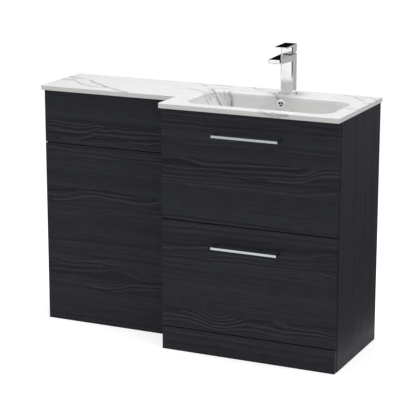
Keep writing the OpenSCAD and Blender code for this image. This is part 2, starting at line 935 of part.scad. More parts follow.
module vanity_mid_rail() {
    color(charcoal)
        difference() {
            span(vanity_inner, [frame_y, frame_y + rail_w], [mid_rail_z, mid_rail_z + board_t]);
            flat_cams(vanity_inner, frame_y + rail_w / 2, mid_rail_z, fix_play);
        }
}

module vanity_back_rail() {
    back_rail(vanity_inner, back_rail_z, vanity_hole_span);
}

module vanity_bottom_rail() {
    low_rail(vanity_inner, plinth_h);
}

module plinth() {
    color(charcoal)
        span(vanity_front_x, [face_y, face_y + front_t], [0, plinth_h]);
}

module plinth_brackets() {
    color(steel)
        bracket_pair(vanity_inner, frame_y, plinth_h / 2);
}

module corner_blocks() {
    module block() {
        difference() {
            cube([block_w, block_h, block_w]);
            translate([block_w / 2, block_h / 2, -over])
                cylinder(r = screw_r, h = block_w + 2 * over);
        }
    }
    color(white_plastic) {
        for (x = [vanity_inner[0], vanity_inner[1] - block_w])
            translate([x, bowl_back_y + bowl_wall + block_gap, cabinet_h - block_w])
                block();
        for (x = [wc_inner[0], wc_inner[1] - block_w])
            translate([x, back_rail_y - 2 * block_h, cabinet_h - block_w])
                block();
    }
}

module cam_discs() {
    color(steel) {
        flat_cams(wc_inner, wc_frame_y + rail_w / 2, cabinet_h - board_t, 0);
        flat_cams(vanity_inner, frame_y + rail_w / 2, mid_rail_z, 0);
        for (y = base_cam_y)
            flat_cams(vanity_inner, y, plinth_h, 0);
        upright_cams(wc_inner, wc_frame_y, wc_front_rail_z + rail_w / 2, 0);
        upright_cams(wc_inner, back_rail_y, back_rail_z + rail_w / 2, 0);
        upright_cams(wc_inner, back_rail_y, rail_w / 2, 0);
        upright_cams(vanity_inner, back_rail_y, back_rail_z + rail_w / 2, 0);
        upright_cams(vanity_inner, back_rail_y, plinth_h + rail_w / 2, 0);
    }
}

module connecting_screws() {
    color(steel)
        for (y = connecting_y, z = connecting_z)
            translate([joint_x, y, z])
                rotate([0, 90, 0]) {
                    translate([0, 0, -board_t - connecting_head_t])
                        cylinder(r = connecting_r, h = 2 * (board_t + connecting_head_t));
                    for (start = [-board_t - connecting_head_t, board_t])
                        translate([0, 0, start])
                            cylinder(r = connecting_head_r, h = connecting_head_t);
                }
}

// A sheet channel from low to high in X, with its web at one of the two
module channel(low, high, half_h, web_low) {
    inner = half_h - runner_t;
    difference() {
        span([low, high], [0, runner_len], [-half_h, half_h]);
        span(web_low ? [low + runner_t, high + over] : [low - over, high - runner_t],
            [-over, runner_len + over], [-inner, inner]);
    }
}

module channel_pair(low, high, half_h, web_low, z) {
    translate([vanity_inner[0], runner_y, z])
        channel(low, high, half_h, web_low);
    translate([vanity_inner[1], runner_y, z])
        mirror([1, 0, 0])
            channel(low, high, half_h, web_low);
}

module runner_rails(z) {
    color(steel)
        channel_pair(0, runner_space - 3, runner_h / 2, true, z + runner_rise);
}

module runner_middles(z) {
    step = runner_t + runner_play;
    color(steel)
        channel_pair(step, runner_space - 1.8, runner_h / 2 - step, true, z + runner_rise);
}

module drawer_runners(z) {
    step = runner_t + runner_play;
    color(steel)
        channel_pair(2 * step, runner_space, runner_h / 2 - 2 * step, false, z + runner_rise);
}

module drawer_side(x, z) {
    color(pale_board)
        span(x, box_y, [z, z + drawer_h]);
}

module drawer_front(z) {
    color(charcoal)
        difference() {
            span(vanity_front_x, [face_y, face_y + front_t], [z, z + front_h]);
            for (side = [-1, 1])
                translate([vanity_mid_x + side * handle_screw_x, face_y - over, z + front_h - handle_drop])
                    rotate([-90, 0, 0])
                        cylinder(r = screw_r + fix_play, h = front_t + 2 * over);
        }
}

module handle(z) {
    half = handle_len / 2;
    grip = half - handle_bar;
    color(chrome)
        translate([vanity_mid_x, face_y, z])
            difference() {
                span([-half, half], [-handle_reach, 0], [-handle_bar / 2, handle_bar / 2]);
                span([-grip, grip], [handle_bar - handle_reach, over], [-handle_bar, handle_bar]);
                for (side = [-1, 1])
                    translate([side * handle_screw_x, -screw_grip - over, 0])
                        rotate([-90, 0, 0])
                            cylinder(r = screw_r + fix_play, h = screw_grip + 2 * over);
            }
}

module handle_screws(z) {
    color(steel)
        for (side = [-1, 1])
            translate([vanity_mid_x + side * handle_screw_x, face_y, z])
                rotate([-90, 0, 0]) {
                    translate([0, 0, -screw_grip])
                        cylinder(r = screw_r, h = screw_grip + front_t + screw_head_t);
                    translate([0, 0, front_t])
                        cylinder(r = screw_head_r, h = screw_head_t);
                }
}

module upper_drawer_back() {
    back_y_range = [box_y[1] - drawer_t, box_y[1]];
    z_range = [upper_box_z + drawer_base_t, upper_box_z + drawer_h];
    color(pale_board) {
        span([bay_x[0], well_x[0]], back_y_range, z_range);
        span([well_x[1], bay_x[1]], back_y_range, z_range);
    }
}

module well_void(z) {
    span([well_x[0] + drawer_t, well_x[1] - drawer_t], [well_y + drawer_t, box_y[1] + over], z);
}

module upper_drawer_well() {
    z_range = [upper_box_z + drawer_base_t, upper_box_z + drawer_h];
    color(pale_board)
        difference() {
            span(well_x, [well_y, box_y[1]], z_range);
            well_void([z_range[0] - over, z_range[1] + over]);
        }
}

module upper_drawer_base() {
    z_range = [upper_box_z, upper_box_z + drawer_base_t];
    color(pale_board)
        difference() {
            span(bay_x, box_y, z_range);
            well_void([z_range[0] - over, z_range[1] + over]);
        }
}

module lower_drawer_back() {
    color(pale_board)
        span(bay_x, [box_y[1] - drawer_t, box_y[1]], [lower_box_z + drawer_base_t, lower_box_z + drawer_h]);
}

module lower_drawer_base() {
    color(pale_board)
        span(bay_x, box_y, [lower_box_z, lower_box_z + drawer_base_t]);
}

basin_top();
overflow_ring();
waste_body();
waste_seal();
waste_nut();
waste_plug();
tap_base_ring();
tap_body();
tap_aerator();
tap_cartridge();
tap_core();
tap_stem();
tap_lever();
lever_screw();
tap_stud();
tap_clamp_plate();
tap_nut();
wc_side_left();
wc_side_right();
wc_lower_front();
wc_upper_front();
wc_front_rail();
wc_top_rail();
wc_back_rail();
wc_bottom_rail();
wc_front_brackets();
panel_clip_sockets();
panel_clip_studs();
vanity_side_left();
vanity_side_right();
vanity_base();
vanity_mid_rail();
vanity_back_rail();
vanity_bottom_rail();
plinth();
plinth_brackets();
corner_blocks();
cam_discs();
connecting_screws();
runner_rails(upper_box_z);  // upper_runner_rails
runner_middles(upper_box_z);  // upper_runner_middles
drawer_runners(upper_box_z);  // upper_drawer_runners
drawer_front(upper_front_z);  // upper_drawer_front
drawer_side([box_x[0], bay_x[0]], upper_box_z);  // upper_drawer_side_left
drawer_side([bay_x[1], box_x[1]], upper_box_z);  // upper_drawer_side_right
upper_drawer_back();
upper_drawer_well();
upper_drawer_base();
handle(upper_front_z + front_h - handle_drop);  // upper_handle
handle_screws(upper_front_z + front_h - handle_drop);  // upper_handle_screws
runner_rails(lower_box_z);  // lower_runner_rails
runner_middles(lower_box_z);  // lower_runner_middles
drawer_runners(lower_box_z);  // lower_drawer_runners
drawer_front(lower_front_z);  // lower_drawer_front
drawer_side([box_x[0], bay_x[0]], lower_box_z);  // lower_drawer_side_left
drawer_side([bay_x[1], box_x[1]], lower_box_z);  // lower_drawer_side_right
lower_drawer_back();
lower_drawer_base();
handle(lower_front_z + front_h - handle_drop);  // lower_handle
handle_screws(lower_front_z + front_h - handle_drop);  // lower_handle_screws
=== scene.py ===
import json
import math

import bmesh
import bpy
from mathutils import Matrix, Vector


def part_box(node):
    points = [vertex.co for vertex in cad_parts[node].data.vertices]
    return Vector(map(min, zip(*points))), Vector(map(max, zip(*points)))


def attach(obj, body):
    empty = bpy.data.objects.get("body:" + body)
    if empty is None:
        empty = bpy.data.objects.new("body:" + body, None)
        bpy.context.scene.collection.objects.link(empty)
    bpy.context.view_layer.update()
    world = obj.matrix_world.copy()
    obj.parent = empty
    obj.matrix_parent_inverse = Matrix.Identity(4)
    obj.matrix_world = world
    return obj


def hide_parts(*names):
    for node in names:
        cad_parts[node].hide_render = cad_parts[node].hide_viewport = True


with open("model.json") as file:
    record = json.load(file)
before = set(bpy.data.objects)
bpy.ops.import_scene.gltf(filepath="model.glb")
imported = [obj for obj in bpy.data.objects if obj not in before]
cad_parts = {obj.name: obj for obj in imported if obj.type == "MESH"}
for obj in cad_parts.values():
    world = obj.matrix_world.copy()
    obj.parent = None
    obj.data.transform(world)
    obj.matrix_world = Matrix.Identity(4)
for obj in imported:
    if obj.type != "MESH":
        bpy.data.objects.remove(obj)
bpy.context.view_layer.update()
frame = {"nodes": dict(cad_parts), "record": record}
mm = 0.001
tiny = 1e-6     # metres, for places that should be the same


def boxOf(node):
    # low and high corner of a CAD node, in millimetres
    return [Vector([round(value / mm, 2) for value in corner]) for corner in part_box(node)]


# modelling tools

def pickOnly(piece=None):
    bpy.ops.object.select_all(action="DESELECT")
    if piece:
        piece.select_set(True)
        bpy.context.view_layer.objects.active = piece


def addBlock(name, low, high):
    # a box between two corners, in millimetres
    pickOnly()
    low, high = Vector(low) * mm, Vector(high) * mm
    bpy.ops.mesh.primitive_cube_add(size=1, location=(low + high) / 2)
    piece = bpy.context.object
    piece.name = name
    piece.scale = high - low
    bpy.ops.object.transform_apply(location=True, rotation=True, scale=True)
    return piece


def addRound(name, centre, radius, height, turn=(0, 0, 0), corners=96):
    # a round bar about its centre point, in millimetres
    pickOnly()
    bpy.ops.mesh.primitive_cylinder_add(
        vertices=corners, radius=radius * mm, depth=height * mm, location=Vector(centre) * mm, rotation=turn)
    piece = bpy.context.object
    piece.name = name
    bpy.ops.object.transform_apply(location=True, rotation=True, scale=True)
    return piece


def everyPart(part):
    return True


def editWhere(piece, kind, test):
    # edit mode with only the faces, edges or corners that pass the test selected
    pickOnly(piece)
    bpy.ops.object.mode_set(mode="EDIT")
    bpy.ops.mesh.select_mode(type=kind)
    bpy.ops.mesh.select_all(action="DESELECT")
    shape = bmesh.from_edit_mesh(piece.data)
    parts = {"FACE": shape.faces, "EDGE": shape.edges, "VERT": shape.verts}[kind]
    for part in parts:
        if test(part):
            part.select_set(True)
    shape.select_flush_mode()
    bmesh.update_edit_mesh(piece.data)


def editDone():
    bpy.ops.object.mode_set(mode="OBJECT")


def moveCorners(piece, test, shift):
    editWhere(piece, "VERT", test)
    bpy.ops.transform.translate(value=Vector(shift) * mm)
    editDone()


def pullFaces(piece, test, shift):
    # the faces that pass the test grow out by the shift
    editWhere(piece, "FACE", test)
    bpy.ops.mesh.extrude_region_move(TRANSFORM_OT_translate={"value": Vector(shift) * mm})
    editDone()


def splitFaces(piece, place, normal):
    # new edges where a plane meets the piece
    editWhere(piece, "FACE", everyPart)
    bpy.ops.mesh.bisect(plane_co=Vector(place) * mm, plane_no=normal)
    editDone()


def mergeFlat(piece, angle=1):
    # faces in one plane become one face
    editWhere(piece, "FACE", everyPart)
    bpy.ops.mesh.dissolve_limited(angle_limit=math.radians(angle))
    editDone()


def edgeSpan(edge):
    return edge.verts[0].co - edge.verts[1].co


def runsUp(edge, slack=0.01):
    return abs(edgeSpan(edge).normalized().z) > 1 - slack


def liesAt(edge, height):
    return all(abs(corner.co.z - height * mm) < tiny for corner in edge.verts)


def bevelWhere(piece, test, width, steps=3):
    editWhere(piece, "EDGE", test)
    bpy.ops.mesh.bevel(offset=width * mm, segments=steps, affect="EDGES", clamp_overlap=False)
    editDone()


def applyModifier(piece, kind, **settings):
    pickOnly(piece)
    change = piece.modifiers.new(kind.lower(), kind)
    for key, value in settings.items():
        setattr(change, key, value)
    bpy.ops.object.modifier_apply(modifier=change.name)


def carve(piece, tool, operation="DIFFERENCE"):
    applyModifier(piece, "BOOLEAN", operation=operation, solver="EXACT", object=tool)
    bpy.data.objects.remove(tool, do_unlink=True)


def join(piece, tool):
    carve(piece, tool, "UNION")


def softenEdges(piece, width, steps=2, angle=30):
    applyModifier(piece, "BEVEL", width=width * mm, segments=steps, limit_method="ANGLE",
                  angle_limit=math.radians(angle), harden_normals=False)


def finishPiece(piece, material, body, nodes, angle=35):
    # smooth shading, the finish, and what the piece rides on and stands in for
    pickOnly(piece)
    bpy.ops.object.shade_smooth_by_angle(angle=math.radians(angle))
    applyModifier(piece, "WEIGHTED_NORMAL", keep_sharp=True, weight=60)
    piece.data.materials.clear()
    piece.data.materials.append(material)
    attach(piece, body)
    if nodes:
        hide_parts(*nodes)
    return piece


# material tools

class NodeSheet:
    # adds nodes to one tree from left to right and joins them
    def __init__(self, tree):
        self.tree = tree
        self.column = 0

    def add(self, kind, inputs=(), **settings):
        node = self.tree.nodes.new(kind)
        node.location = (self.column * 180, 0)
        self.column += 1
        for key, value in settings.items():
            setattr(node, key, value)
        for name, value in dict(inputs).items():
            self.feed(node.inputs[name], value)
        return node

    def feed(self, socket, value):
        if isinstance(value, bpy.types.NodeSocket):
            self.tree.links.new(value, socket)
        else:
            socket.default_value = value

    def maths(self, operation, first, second=0.0, third=0.0, clamp=False):
        node = self.add("ShaderNodeMath", {0: first, 1: second, 2: third}, operation=operation)
        node.use_clamp = clamp
        return node.outputs[0]

    def times(self, first, *others):
        for other in others:
            first = self.maths("MULTIPLY", first, other)
        return first

    def plus(self, first, *others):
        for other in others:
            first = self.maths("ADD", first, other)
        return first

    def minus(self, first, second):
        return self.maths("SUBTRACT", first, second)

    def addShare(self, value, share, base):
        # the base plus a share of the value
        return self.maths("MULTIPLY_ADD", value, share, base)

    def vector(self, operation, first, second=(0, 0, 0), scale=None):
        node = self.add("ShaderNodeVectorMath", {0: first, 1: second}, operation=operation)
        if scale is not None:
            self.feed(node.inputs["Scale"], scale)
        return node.outputs["Value" if operation in ("DOT_PRODUCT", "DISTANCE") else "Vector"]

    def joinAxes(self, x, y, z):
        return self.add("ShaderNodeCombineXYZ", {0: x, 1: y, 2: z}).outputs[0]

    def splitAxes(self, point):
        return self.add("ShaderNodeSeparateXYZ", {0: point}).outputs

    def drawnOut(self, along, across, depth, slow, quick, shift=0.0):
        # a point that changes slowly along and quickly across, which draws noise out into lines
        return self.joinAxes(self.addShare(along, slow, shift), self.times(across, quick),
                             self.times(depth, quick))

    def noise(self, point, scale=1.0, detail=2.0, rough=0.5, output="Fac"):
        node = self.add("ShaderNodeTexNoise", {
            "Vector": point, "Scale": scale, "Detail": detail, "Roughness": rough})
        return node.outputs[output]

    def lineNoise(self, value, scale, detail=2.0, rough=0.5):
        # noise along one value
        return self.add("ShaderNodeTexNoise", {
            "W": value, "Scale": scale, "Detail": detail, "Roughness": rough,
        }, noise_dimensions="1D").outputs["Fac"]

    def swing(self, point, reach, detail=2.0, rough=0.5):
        # noise that swings to both sides of nought
        return self.times(self.minus(self.noise(point, 1.0, detail, rough), 0.5), reach)

    def spread(self, value, low, high, newLow=0.0, newHigh=1.0):
        return self.add("ShaderNodeMapRange", {
            "Value": value, "From Min": low, "From Max": high, "To Min": newLow, "To Max": newHigh,
        }, interpolation_type="SMOOTHSTEP").outputs[0]

    def blend(self, share, first, second):
        node = self.add("ShaderNodeMix", data_type="RGBA")
        for index, value in ((0, share), (6, first), (7, second)):
            self.feed(node.inputs[index], value)
        return node.outputs[2]


def newGroup(name, inputs, outputs):
    group = bpy.data.node_groups.new(name, "ShaderNodeTree")
    for direction, sockets in (("INPUT", inputs), ("OUTPUT", outputs)):
        for label, kind in sockets:
            group.interface.new_socket(name=label, in_out=direction, socket_type="NodeSocket" + kind)
    sheet = NodeSheet(group)
    return group, sheet, sheet.add("NodeGroupInput").outputs


def useGroup(sheet, group, inputs):
    node = sheet.add("ShaderNodeGroup")
    node.node_tree = group
    for label, value in inputs.items():
        sheet.feed(node.inputs[label], value)
    return node.outputs


def emptyMaterial(name):
    material = bpy.data.materials.new(name)
    material.use_nodes = True
    material.node_tree.nodes.clear()
    return material, NodeSheet(material.node_tree)


def newMaterial(name):
    material, sheet = emptyMaterial(name)
    return material, sheet, sheet.add("ShaderNodeTexCoord").outputs["Object"]


def closeMaterial(sheet, color, roughness, height=None, depth=0.0002, strength=0.5, **settings):
    shader = sheet.add("ShaderNodeBsdfPrincipled", {"Base Color": color, "Roughness": roughness})
    for label, value in settings.items():
        sheet.feed(shader.inputs[label.replace("_", " ")], value)
    if height is not None:
        bump = sheet.add("ShaderNodeBump", {"Height": height, "Distance": depth, "Strength": strength})
        sheet.feed(shader.inputs["Normal"], bump.outputs["Normal"])
    sheet.add("ShaderNodeOutputMaterial", {"Surface": shader.outputs[0]})


# shared effects

def makeHandling():
    # faint smears and specks of a handled surface
    group, sheet, given = newGroup(
        "handling", [("Point", "Vector"), ("Amount", "Float")], [("Smear", "Float")])
    streaks = sheet.noise(given["Point"], 18.0, detail=3.0, rough=0.6)
    specks = sheet.noise(given["Point"], 240.0)
    shown = sheet.spread(sheet.addShare(specks, 0.35, streaks), 0.45, 0.95)
    sheet.add("NodeGroupOutput", {"Smear": sheet.times(shown, given["Amount"])})
    return group


# how strongly each kind of finish is smeared
smears = {"marble": 0.10, "grain": 0.10, "metal": 0.10, "moulding": 0.16, "linen": 0.14}


def smearOn(sheet, point, kind):
    return useGroup(sheet, handling, {"Point": point, "Amount": smears[kind]})["Smear"]


def makeVeinStroke():
    # one straight stretch of a vein: a soft line, dark at its middle, with a faint halo
    # Away runs from the stretch's start to the shaded point, and leaves measured from its end
    group, sheet, given = newGroup(
        "veinStroke",
        [("Away", "Vector"), ("Along", "Vector"), ("Width", "Float"), ("Strength", "Float"),
         ("Mask", "Float")],
        [("Away", "Vector"), ("Mask", "Float")])
    away, along = given["Away"], given["Along"]
    share = sheet.maths("DIVIDE", sheet.vector("DOT_PRODUCT", away, along),
                        sheet.vector("DOT_PRODUCT", along, along))
    # a clamp box here would make Cycles hold every stretch at once and run out of room
    share = sheet.maths("MINIMUM", sheet.maths("MAXIMUM", share, 0.0), 1.0)
    distance = sheet.vector("DISTANCE", away, sheet.vector("SCALE", along, scale=share))
    ratio = sheet.maths("DIVIDE", distance, given["Width"])
    core = sheet.maths("EXPONENT", sheet.times(sheet.maths("POWER", ratio, 2.0), -1.0))
    halo = sheet.maths("EXPONENT", sheet.times(ratio, -0.8))
    line = sheet.addShare(halo, 0.22, sheet.times(core, 0.78))
    mask = sheet.maths("MAXIMUM", given["Mask"], sheet.times(line, given["Strength"]))
    sheet.add("NodeGroupOutput", {"Away": sheet.vector("SUBTRACT", away, along), "Mask": mask})
    return group


charcoal = {
    "dark": (0.0150, 0.0158, 0.0200, 1),
    "light": (0.0520, 0.0545, 0.0660, 1),
    "pore": (0.0055, 0.0058, 0.0075, 1),
    "middle": 0.42,                        # tone of the calm grain between dark and light
    "sidePaintedSheen": 0.16,                      # painted light: how much lighter the side boards are drawn than the fronts, for the brighter light on the cabinet's sides
    "roughness": 0.52, "poreRoughness": 0.12, "shine": 0.12,
    # lines per metre across the grain, and how strongly they show
    "broadLines": (24.0, 0.16), "middleLines": (150.0, 0.66), "narrowLines": (280.0, 0.22),
    # waves that bend the lines: turns per metre along and across, and how far they reach in metres
    "waver": (1.7, 5.0, 0.024), "shiver": (9.0, 30.0, 0.005),
    "ripple": (30.0, 0.003),               # the same for drawn lines: waves per metre along, and reach
    # fibres and pores per metre along and across, and how strongly they show
    "fibres": (16.0, 950.0, 0.30), "pores": (55.0, 1500.0, 0.75),
    "mottle": 0.14,
    # drawn growth lines: the length of their fading ends in millimetres, and their strengths
    "lineFade": 14, "darkLine": 1.30, "lightLine": 1.0,
}


def makeGrowthLine():
    # one drawn growth line: Off is the distance from its curve, and it fades out past Start and End
    group, sheet, given = newGroup(
        "growthLine",
        [("Along", "Float"), ("Off", "Float"), ("Start", "Float"), ("End", "Float"), ("Width", "Float"),
         ("Strength", "Float"), ("Mask", "Float")],
        [("Mask", "Float")])
    fade = charcoal["lineFade"] * mm
    ratio = sheet.maths("DIVIDE", given["Off"], given["Width"])
    line = sheet.maths("EXPONENT", sheet.times(ratio, ratio, -1.0))
    opening = sheet.spread(given["Along"], sheet.minus(given["Start"], fade), given["Start"])
    ending = sheet.spread(given["Along"], given["End"], sheet.plus(given["End"], fade), 1.0, 0.0)
    shown = sheet.times(opening, ending, given["Strength"])
    sheet.add("NodeGroupOutput", {"Mask": sheet.maths("MAXIMUM", given["Mask"], sheet.times(line, shown))})
    return group


def makeGrainLines():
    # growth lines, fibres and pores of a wood-grain foil
    group, sheet, given = newGroup(
        "grainLines",
        [("Along", "Float"), ("Across", "Float"), ("Depth", "Float"), ("Seed", "Float"), ("Quiet", "Float")],
        [("Tone", "Float"), ("Pores", "Float")])
    along, across, depth, seed = given["Along"], given["Across"], given["Depth"], given["Seed"]
    slow, quick, reach = charcoal["waver"]
    waver = sheet.swing(sheet.drawnOut(along, across, depth, slow, quick, seed), reach, rough=0.45)
    slow, quick, reach = charcoal["shiver"]
    uneven = sheet.drawnOut(along, across, depth, slow, quick, seed)
    shiver = sheet.swing(uneven, reach)
    bent = sheet.plus(across, waver, sheet.plus(shiver, sheet.times(depth, 0.4)))

    shifted = sheet.plus(bent, seed)
    broad, middle = [sheet.spread(sheet.lineNoise(shifted, charcoal[kind][0]), 0.32, 0.68, -0.5, 0.5)
                     for kind in ("broadLines", "middleLines")]
    narrow = sheet.lineNoise(shifted, charcoal["narrowLines"][0], rough=0.55)
    narrow = sheet.spread(narrow, 0.3, 0.7, -0.5, 0.5)
    slow, quick, fibreStrength = charcoal["fibres"]
    fibre = sheet.swing(sheet.drawnOut(along, bent, depth, slow, quick), fibreStrength, rough=0.55)

    # the middle lines come and go, and stay away where a calm zone is drawn
    calm = sheet.spread(sheet.noise(uneven, 0.35, detail=1.0), 0.38, 0.62, 0.35, 1.0)
    calm = sheet.times(calm, sheet.minus(1.0, given["Quiet"]))
    mottle = sheet.spread(sheet.noise(uneven, 2.6, detail=3.0, rough=0.55), 0.3, 0.7, -0.5, 0.5)
    tone = sheet.addShare(mottle, charcoal["mottle"], charcoal["middle"])
    tone = sheet.addShare(broad, charcoal["broadLines"][1], tone)
    tone = sheet.addShare(sheet.times(middle, calm), charcoal["middleLines"][1], tone)
    tone = sheet.addShare(narrow, charcoal["narrowLines"][1], sheet.plus(fibre, tone))

    slow, quick, _ = charcoal["pores"]
    pores = sheet.noise(sheet.drawnOut(along, bent, depth, slow, quick), detail=1.0)
    pores = sheet.times(sheet.spread(pores, 0.58, 0.72), sheet.spread(middle, -0.3, 0.3, 0.3, 1.0))
    sheet.add("NodeGroupOutput", {"Tone": tone, "Pores": pores})
    return group


print("scene: shared effects")
handling = makeHandling()
veinStroke = makeVeinStroke()
growthLine = makeGrowthLine()
grainLines = makeGrainLines()


# finishes

marble = {
    "pale": (0.880, 0.878, 0.872, 1),
    "vein": (0.200, 0.203, 0.202, 1),
    "roughness": 0.24, "shine": 0.03,
    # painted shade: how much darker the bowl and its rounded rim are drawn, and how far down that is full or
    # has faded
    "bowlPaintedShade": 0.115, "shadeDepth": 6, "rimPaintedShade": 0.24, "rimDepth": 14,
    # the painted shadow round the tap's foot, and between which distances it fades
    "tapShadowStrength": 0.22, "tapShadowInner": 22, "tapShadowOuter": 90,
    # how the veins wander: waves per metre, detail, roughness and reach in metres
    "sways": ((7.0, 2.0, 0.5, 0.014), (55.0, 3.0, 0.6, 0.007)),
    # waves per metre along a vein, with its least and greatest share of its width
    "swell": (34.0, 0.55, 1.5),
    # faint stray veins: waves per metre, half their width as a share of a wave, and their strength
    "strays": (4.6, 0.014, 0.10),
    # waves per metre: of the breaks in a vein, with what is left there, and of clouds, with their strength
    "breaks": (90.0, 0.72), "clouds": (9.0, 0.06),
    # veins of the flat top: width, strength and the points they run through, in millimetres
    "topVeins": [
        (4.0, 0.62, [(-550, 86), (-525, 84), (-504, 79), (-467, 40), (-429, 12), (-389, -10), (-340, -8)]),
        (3.4, 0.50, [(-550, 64), (-530, 66), (-505, 63)]),
        (6.0, 0.58, [(-550, 134), (-525, 121), (-490, 110)]),
        (4.2, 0.85, [(-451, 94), (-408, 53), (-379, 33), (-341, 0), (-304, -23), (-261, -47), (-230, -59)]),
        (3.0, 0.30, [(-150, 60), (-90, 81), (-61, 82)]),
        (5.0, 0.55, [(-61, 82), (-38, 78), (-13, 63), (8, 50)]),
        (5.0, 0.34, [(-96, 182), (-80, 184), (-59, 172), (-40, 150)]),
        (5.5, 0.42, [(-24, 185), (14, 189), (40, 179)]),
        (6.0, 0.34, [(-16, 122), (-3, 128), (24, 141), (41, 144)]),
        (3.4, 0.50, [(106, 202), (128, 175), (175, 149), (212, 127), (240, 84)]),
        (3.4, 0.38, [(141, 187), (168, 184), (201, 188)]),
        (4.0, 0.55, [(431, 190), (459, 178), (474, 173), (492, 150), (524, 118)]),
        (4.0, 0.50, [(512, 185), (525, 181), (541, 165), (556, 148)]),
        (3.6, 0.32, [(495, 171), (515, 162)]),
        (4.0, 0.50, [(538, 83), (556, 80)]),
        (3.6, 0.46, [(500, -22), (512, -17), (529, -8)]),
        (4.2, 0.60, [(526, -31), (546, -27), (556, -26)]),
    ],
    # veins on the bowl's walls and on the front edge, with their heights
    "wallVeins": [
        (3.4, 0.42, [(8, 30, 816), (18, 12, 812), (27, 9, 800), (32, 9, 786)]),
        (3.0, 0.46, [(6, 50, 817), (21, 29, 809), (30, 34, 795)]),
        (3.4, 0.60, [(3, 85, 817), (25, 55, 812), (33, 54, 803)]),
        (2.8, 0.44, [(14, 59, 817), (26, 39, 805), (33, 36, 784)]),
        (4.2, 0.80, [(1, 113, 817), (30, 68, 815), (39, 61, 802), (46, 60, 790), (54, 60, 776)]),
        (3.0, 0.50, [(38, 84, 817), (45, 72, 811), (48, 68, 803)]),
        (3.4, 0.58, [(50, 100, 817), (60, 77, 811), (65, 74, 799), (73, 72, 778)]),
        (3.6, 0.50, [(64, 93, 817), (71, 79, 812), (69, 75, 799)]),
        (4.4, 0.86, [(70, 94, 817), (80, 78, 810), (85, 75, 797), (83, 74, 786), (85, 71, 772)]),
        (15.0, 0.28, [(58, 70, 808), (62, 72, 785)]),
        (9.0, 0.34, [(74, 76, 806), (76, 72, 776)]),
        (3.4, 0.66, [(236, 92, 817), (244, 79, 812), (249, 76, 801), (252, 75, 790)]),
        (5.0, 0.50, [(288, -176, 817), (306, -187, 817), (320, -191, 812), (336, -191, 806)]),
        (5.0, 0.58, [(332, -186, 817), (350, -191, 812), (388, -191, 811)]),
        (4.0, 0.46, [(338, -191, 808), (358, -191, 804)]),
    ],
}


def veinMask(sheet, point):
    # drawn veins on a point that wanders a little, and faint stray ones between them
    moved = point
    for waves, detail, rough, reach in marble["sways"]:
        swirl = sheet.vector("SUBTRACT", sheet.noise(point, waves, detail, rough, "Color"), (0.5, 0.5, 0.5))
        moved = sheet.vector("ADD", moved, sheet.vector("SCALE", swirl, scale=reach))
    waves, least, most = marble["swell"]
    swell = sheet.spread(sheet.noise(point, waves), 0.25, 0.75, least, most)
    flatVeins = [(width, strength, [(*spot, basin["top"]) for spot in route])
                 for width, strength, route in marble["topVeins"]]
    total = 0.0
    for width, strength, route in flatVeins + marble["wallVeins"]:
        thickness = sheet.times(swell, width * mm)
        corners = [Vector(spot) * mm for spot in route]
        away, mask = sheet.vector("SUBTRACT", moved, corners[0]), 0.0
        for start, end in zip(corners, corners[1:]):
            stroke = useGroup(sheet, veinStroke, {
                "Away": away, "Along": end - start, "Width": thickness, "Strength": strength, "Mask": mask})
            away, mask = stroke["Away"], stroke["Mask"]
        total = sheet.maths("MAXIMUM", total, mask)

    waves, width, strength = marble["strays"]
    thread = sheet.maths("ABSOLUTE", sheet.minus(sheet.noise(moved, waves, detail=4.0, rough=0.55), 0.5))
    patch = sheet.spread(sheet.noise(point, 3.2, detail=1.0), 0.48, 0.62)
    stray = sheet.times(sheet.spread(thread, 0.0, width, strength, 0.0), patch)
    waves, left = marble["breaks"]
    broken = sheet.spread(sheet.noise(point, waves, detail=3.0, rough=0.6), 0.20, 0.60, left, 1.0)
    waves, strength = marble["clouds"]
    cloud = sheet.spread(sheet.noise(moved, waves, detail=4.0, rough=0.6), 0.46, 0.80, 0.0, strength)
    veins = sheet.times(sheet.maths("MAXIMUM", total, stray), broken)
    return sheet.maths("ADD", veins, cloud, clamp=True)


def paintBowlShade(sheet, point, height):
    # painted shade: the bowl is drawn darker than the flat top, and its rounded rim a little more
    left, right, front, back = basin["bowl"]
    middle = Vector(((left + right) / 2, (front + back) / 2, 0)) * mm
    aside = sheet.splitAxes(sheet.vector("ABSOLUTE", sheet.vector("SUBTRACT", point, middle)))
    outside = sheet.maths("MAXIMUM", sheet.minus(aside[0], (right - left) / 2 * mm),
                          sheet.minus(aside[1], (back - front) / 2 * mm))
    inside = sheet.spread(outside, 8 * mm, 20 * mm, 1.0, 0.0)

    def below(high, low, atHigh, atLow):
        # a share that changes between two depths below the slab's top
        return sheet.spread(height, (basin["top"] - low) * mm, (basin["top"] - high) * mm, atLow, atHigh)

    bowl = sheet.times(inside, below(0.2, marble["shadeDepth"], 0.0, 1.0), marble["bowlPaintedShade"])
    rim = sheet.times(below(2, marble["rimDepth"], 1.0, 0.0), below(0.3, 2, 0.0, 1.0),
                      inside, marble["rimPaintedShade"])
    return sheet.plus(bowl, rim)


def paintTapShadow(sheet, point, height):
    # a painted soft shadow on the flat top round the tap's foot
    foot = Vector((*basin["tap"], basin["top"])) * mm
    near = sheet.spread(sheet.vector("DISTANCE", point, foot), marble["tapShadowInner"] * mm,
                        marble["tapShadowOuter"] * mm, 1.0, 0.0)
    onTop = sheet.spread(height, (basin["top"] - 3) * mm, (basin["top"] - 1) * mm)
    return sheet.times(near, near, onTop, marble["tapShadowStrength"])


def marbleTop():
    material, sheet, point = newMaterial("marbleTop")
    height = sheet.splitAxes(point)[2]
    color = sheet.blend(veinMask(sheet, point), marble["pale"], marble["vein"])
    # painted shade in the bowl and painted shadow round the tap's foot darken the marble
    paintedShade = sheet.plus(paintBowlShade(sheet, point, height), paintTapShadow(sheet, point, height))
    color = sheet.blend(paintedShade, color, (0, 0, 0, 1))
    rough = sheet.plus(smearOn(sheet, point, "marble"), marble["roughness"])
    closeMaterial(sheet, color, rough, Specular_IOR_Level=marble["shine"])
    return material


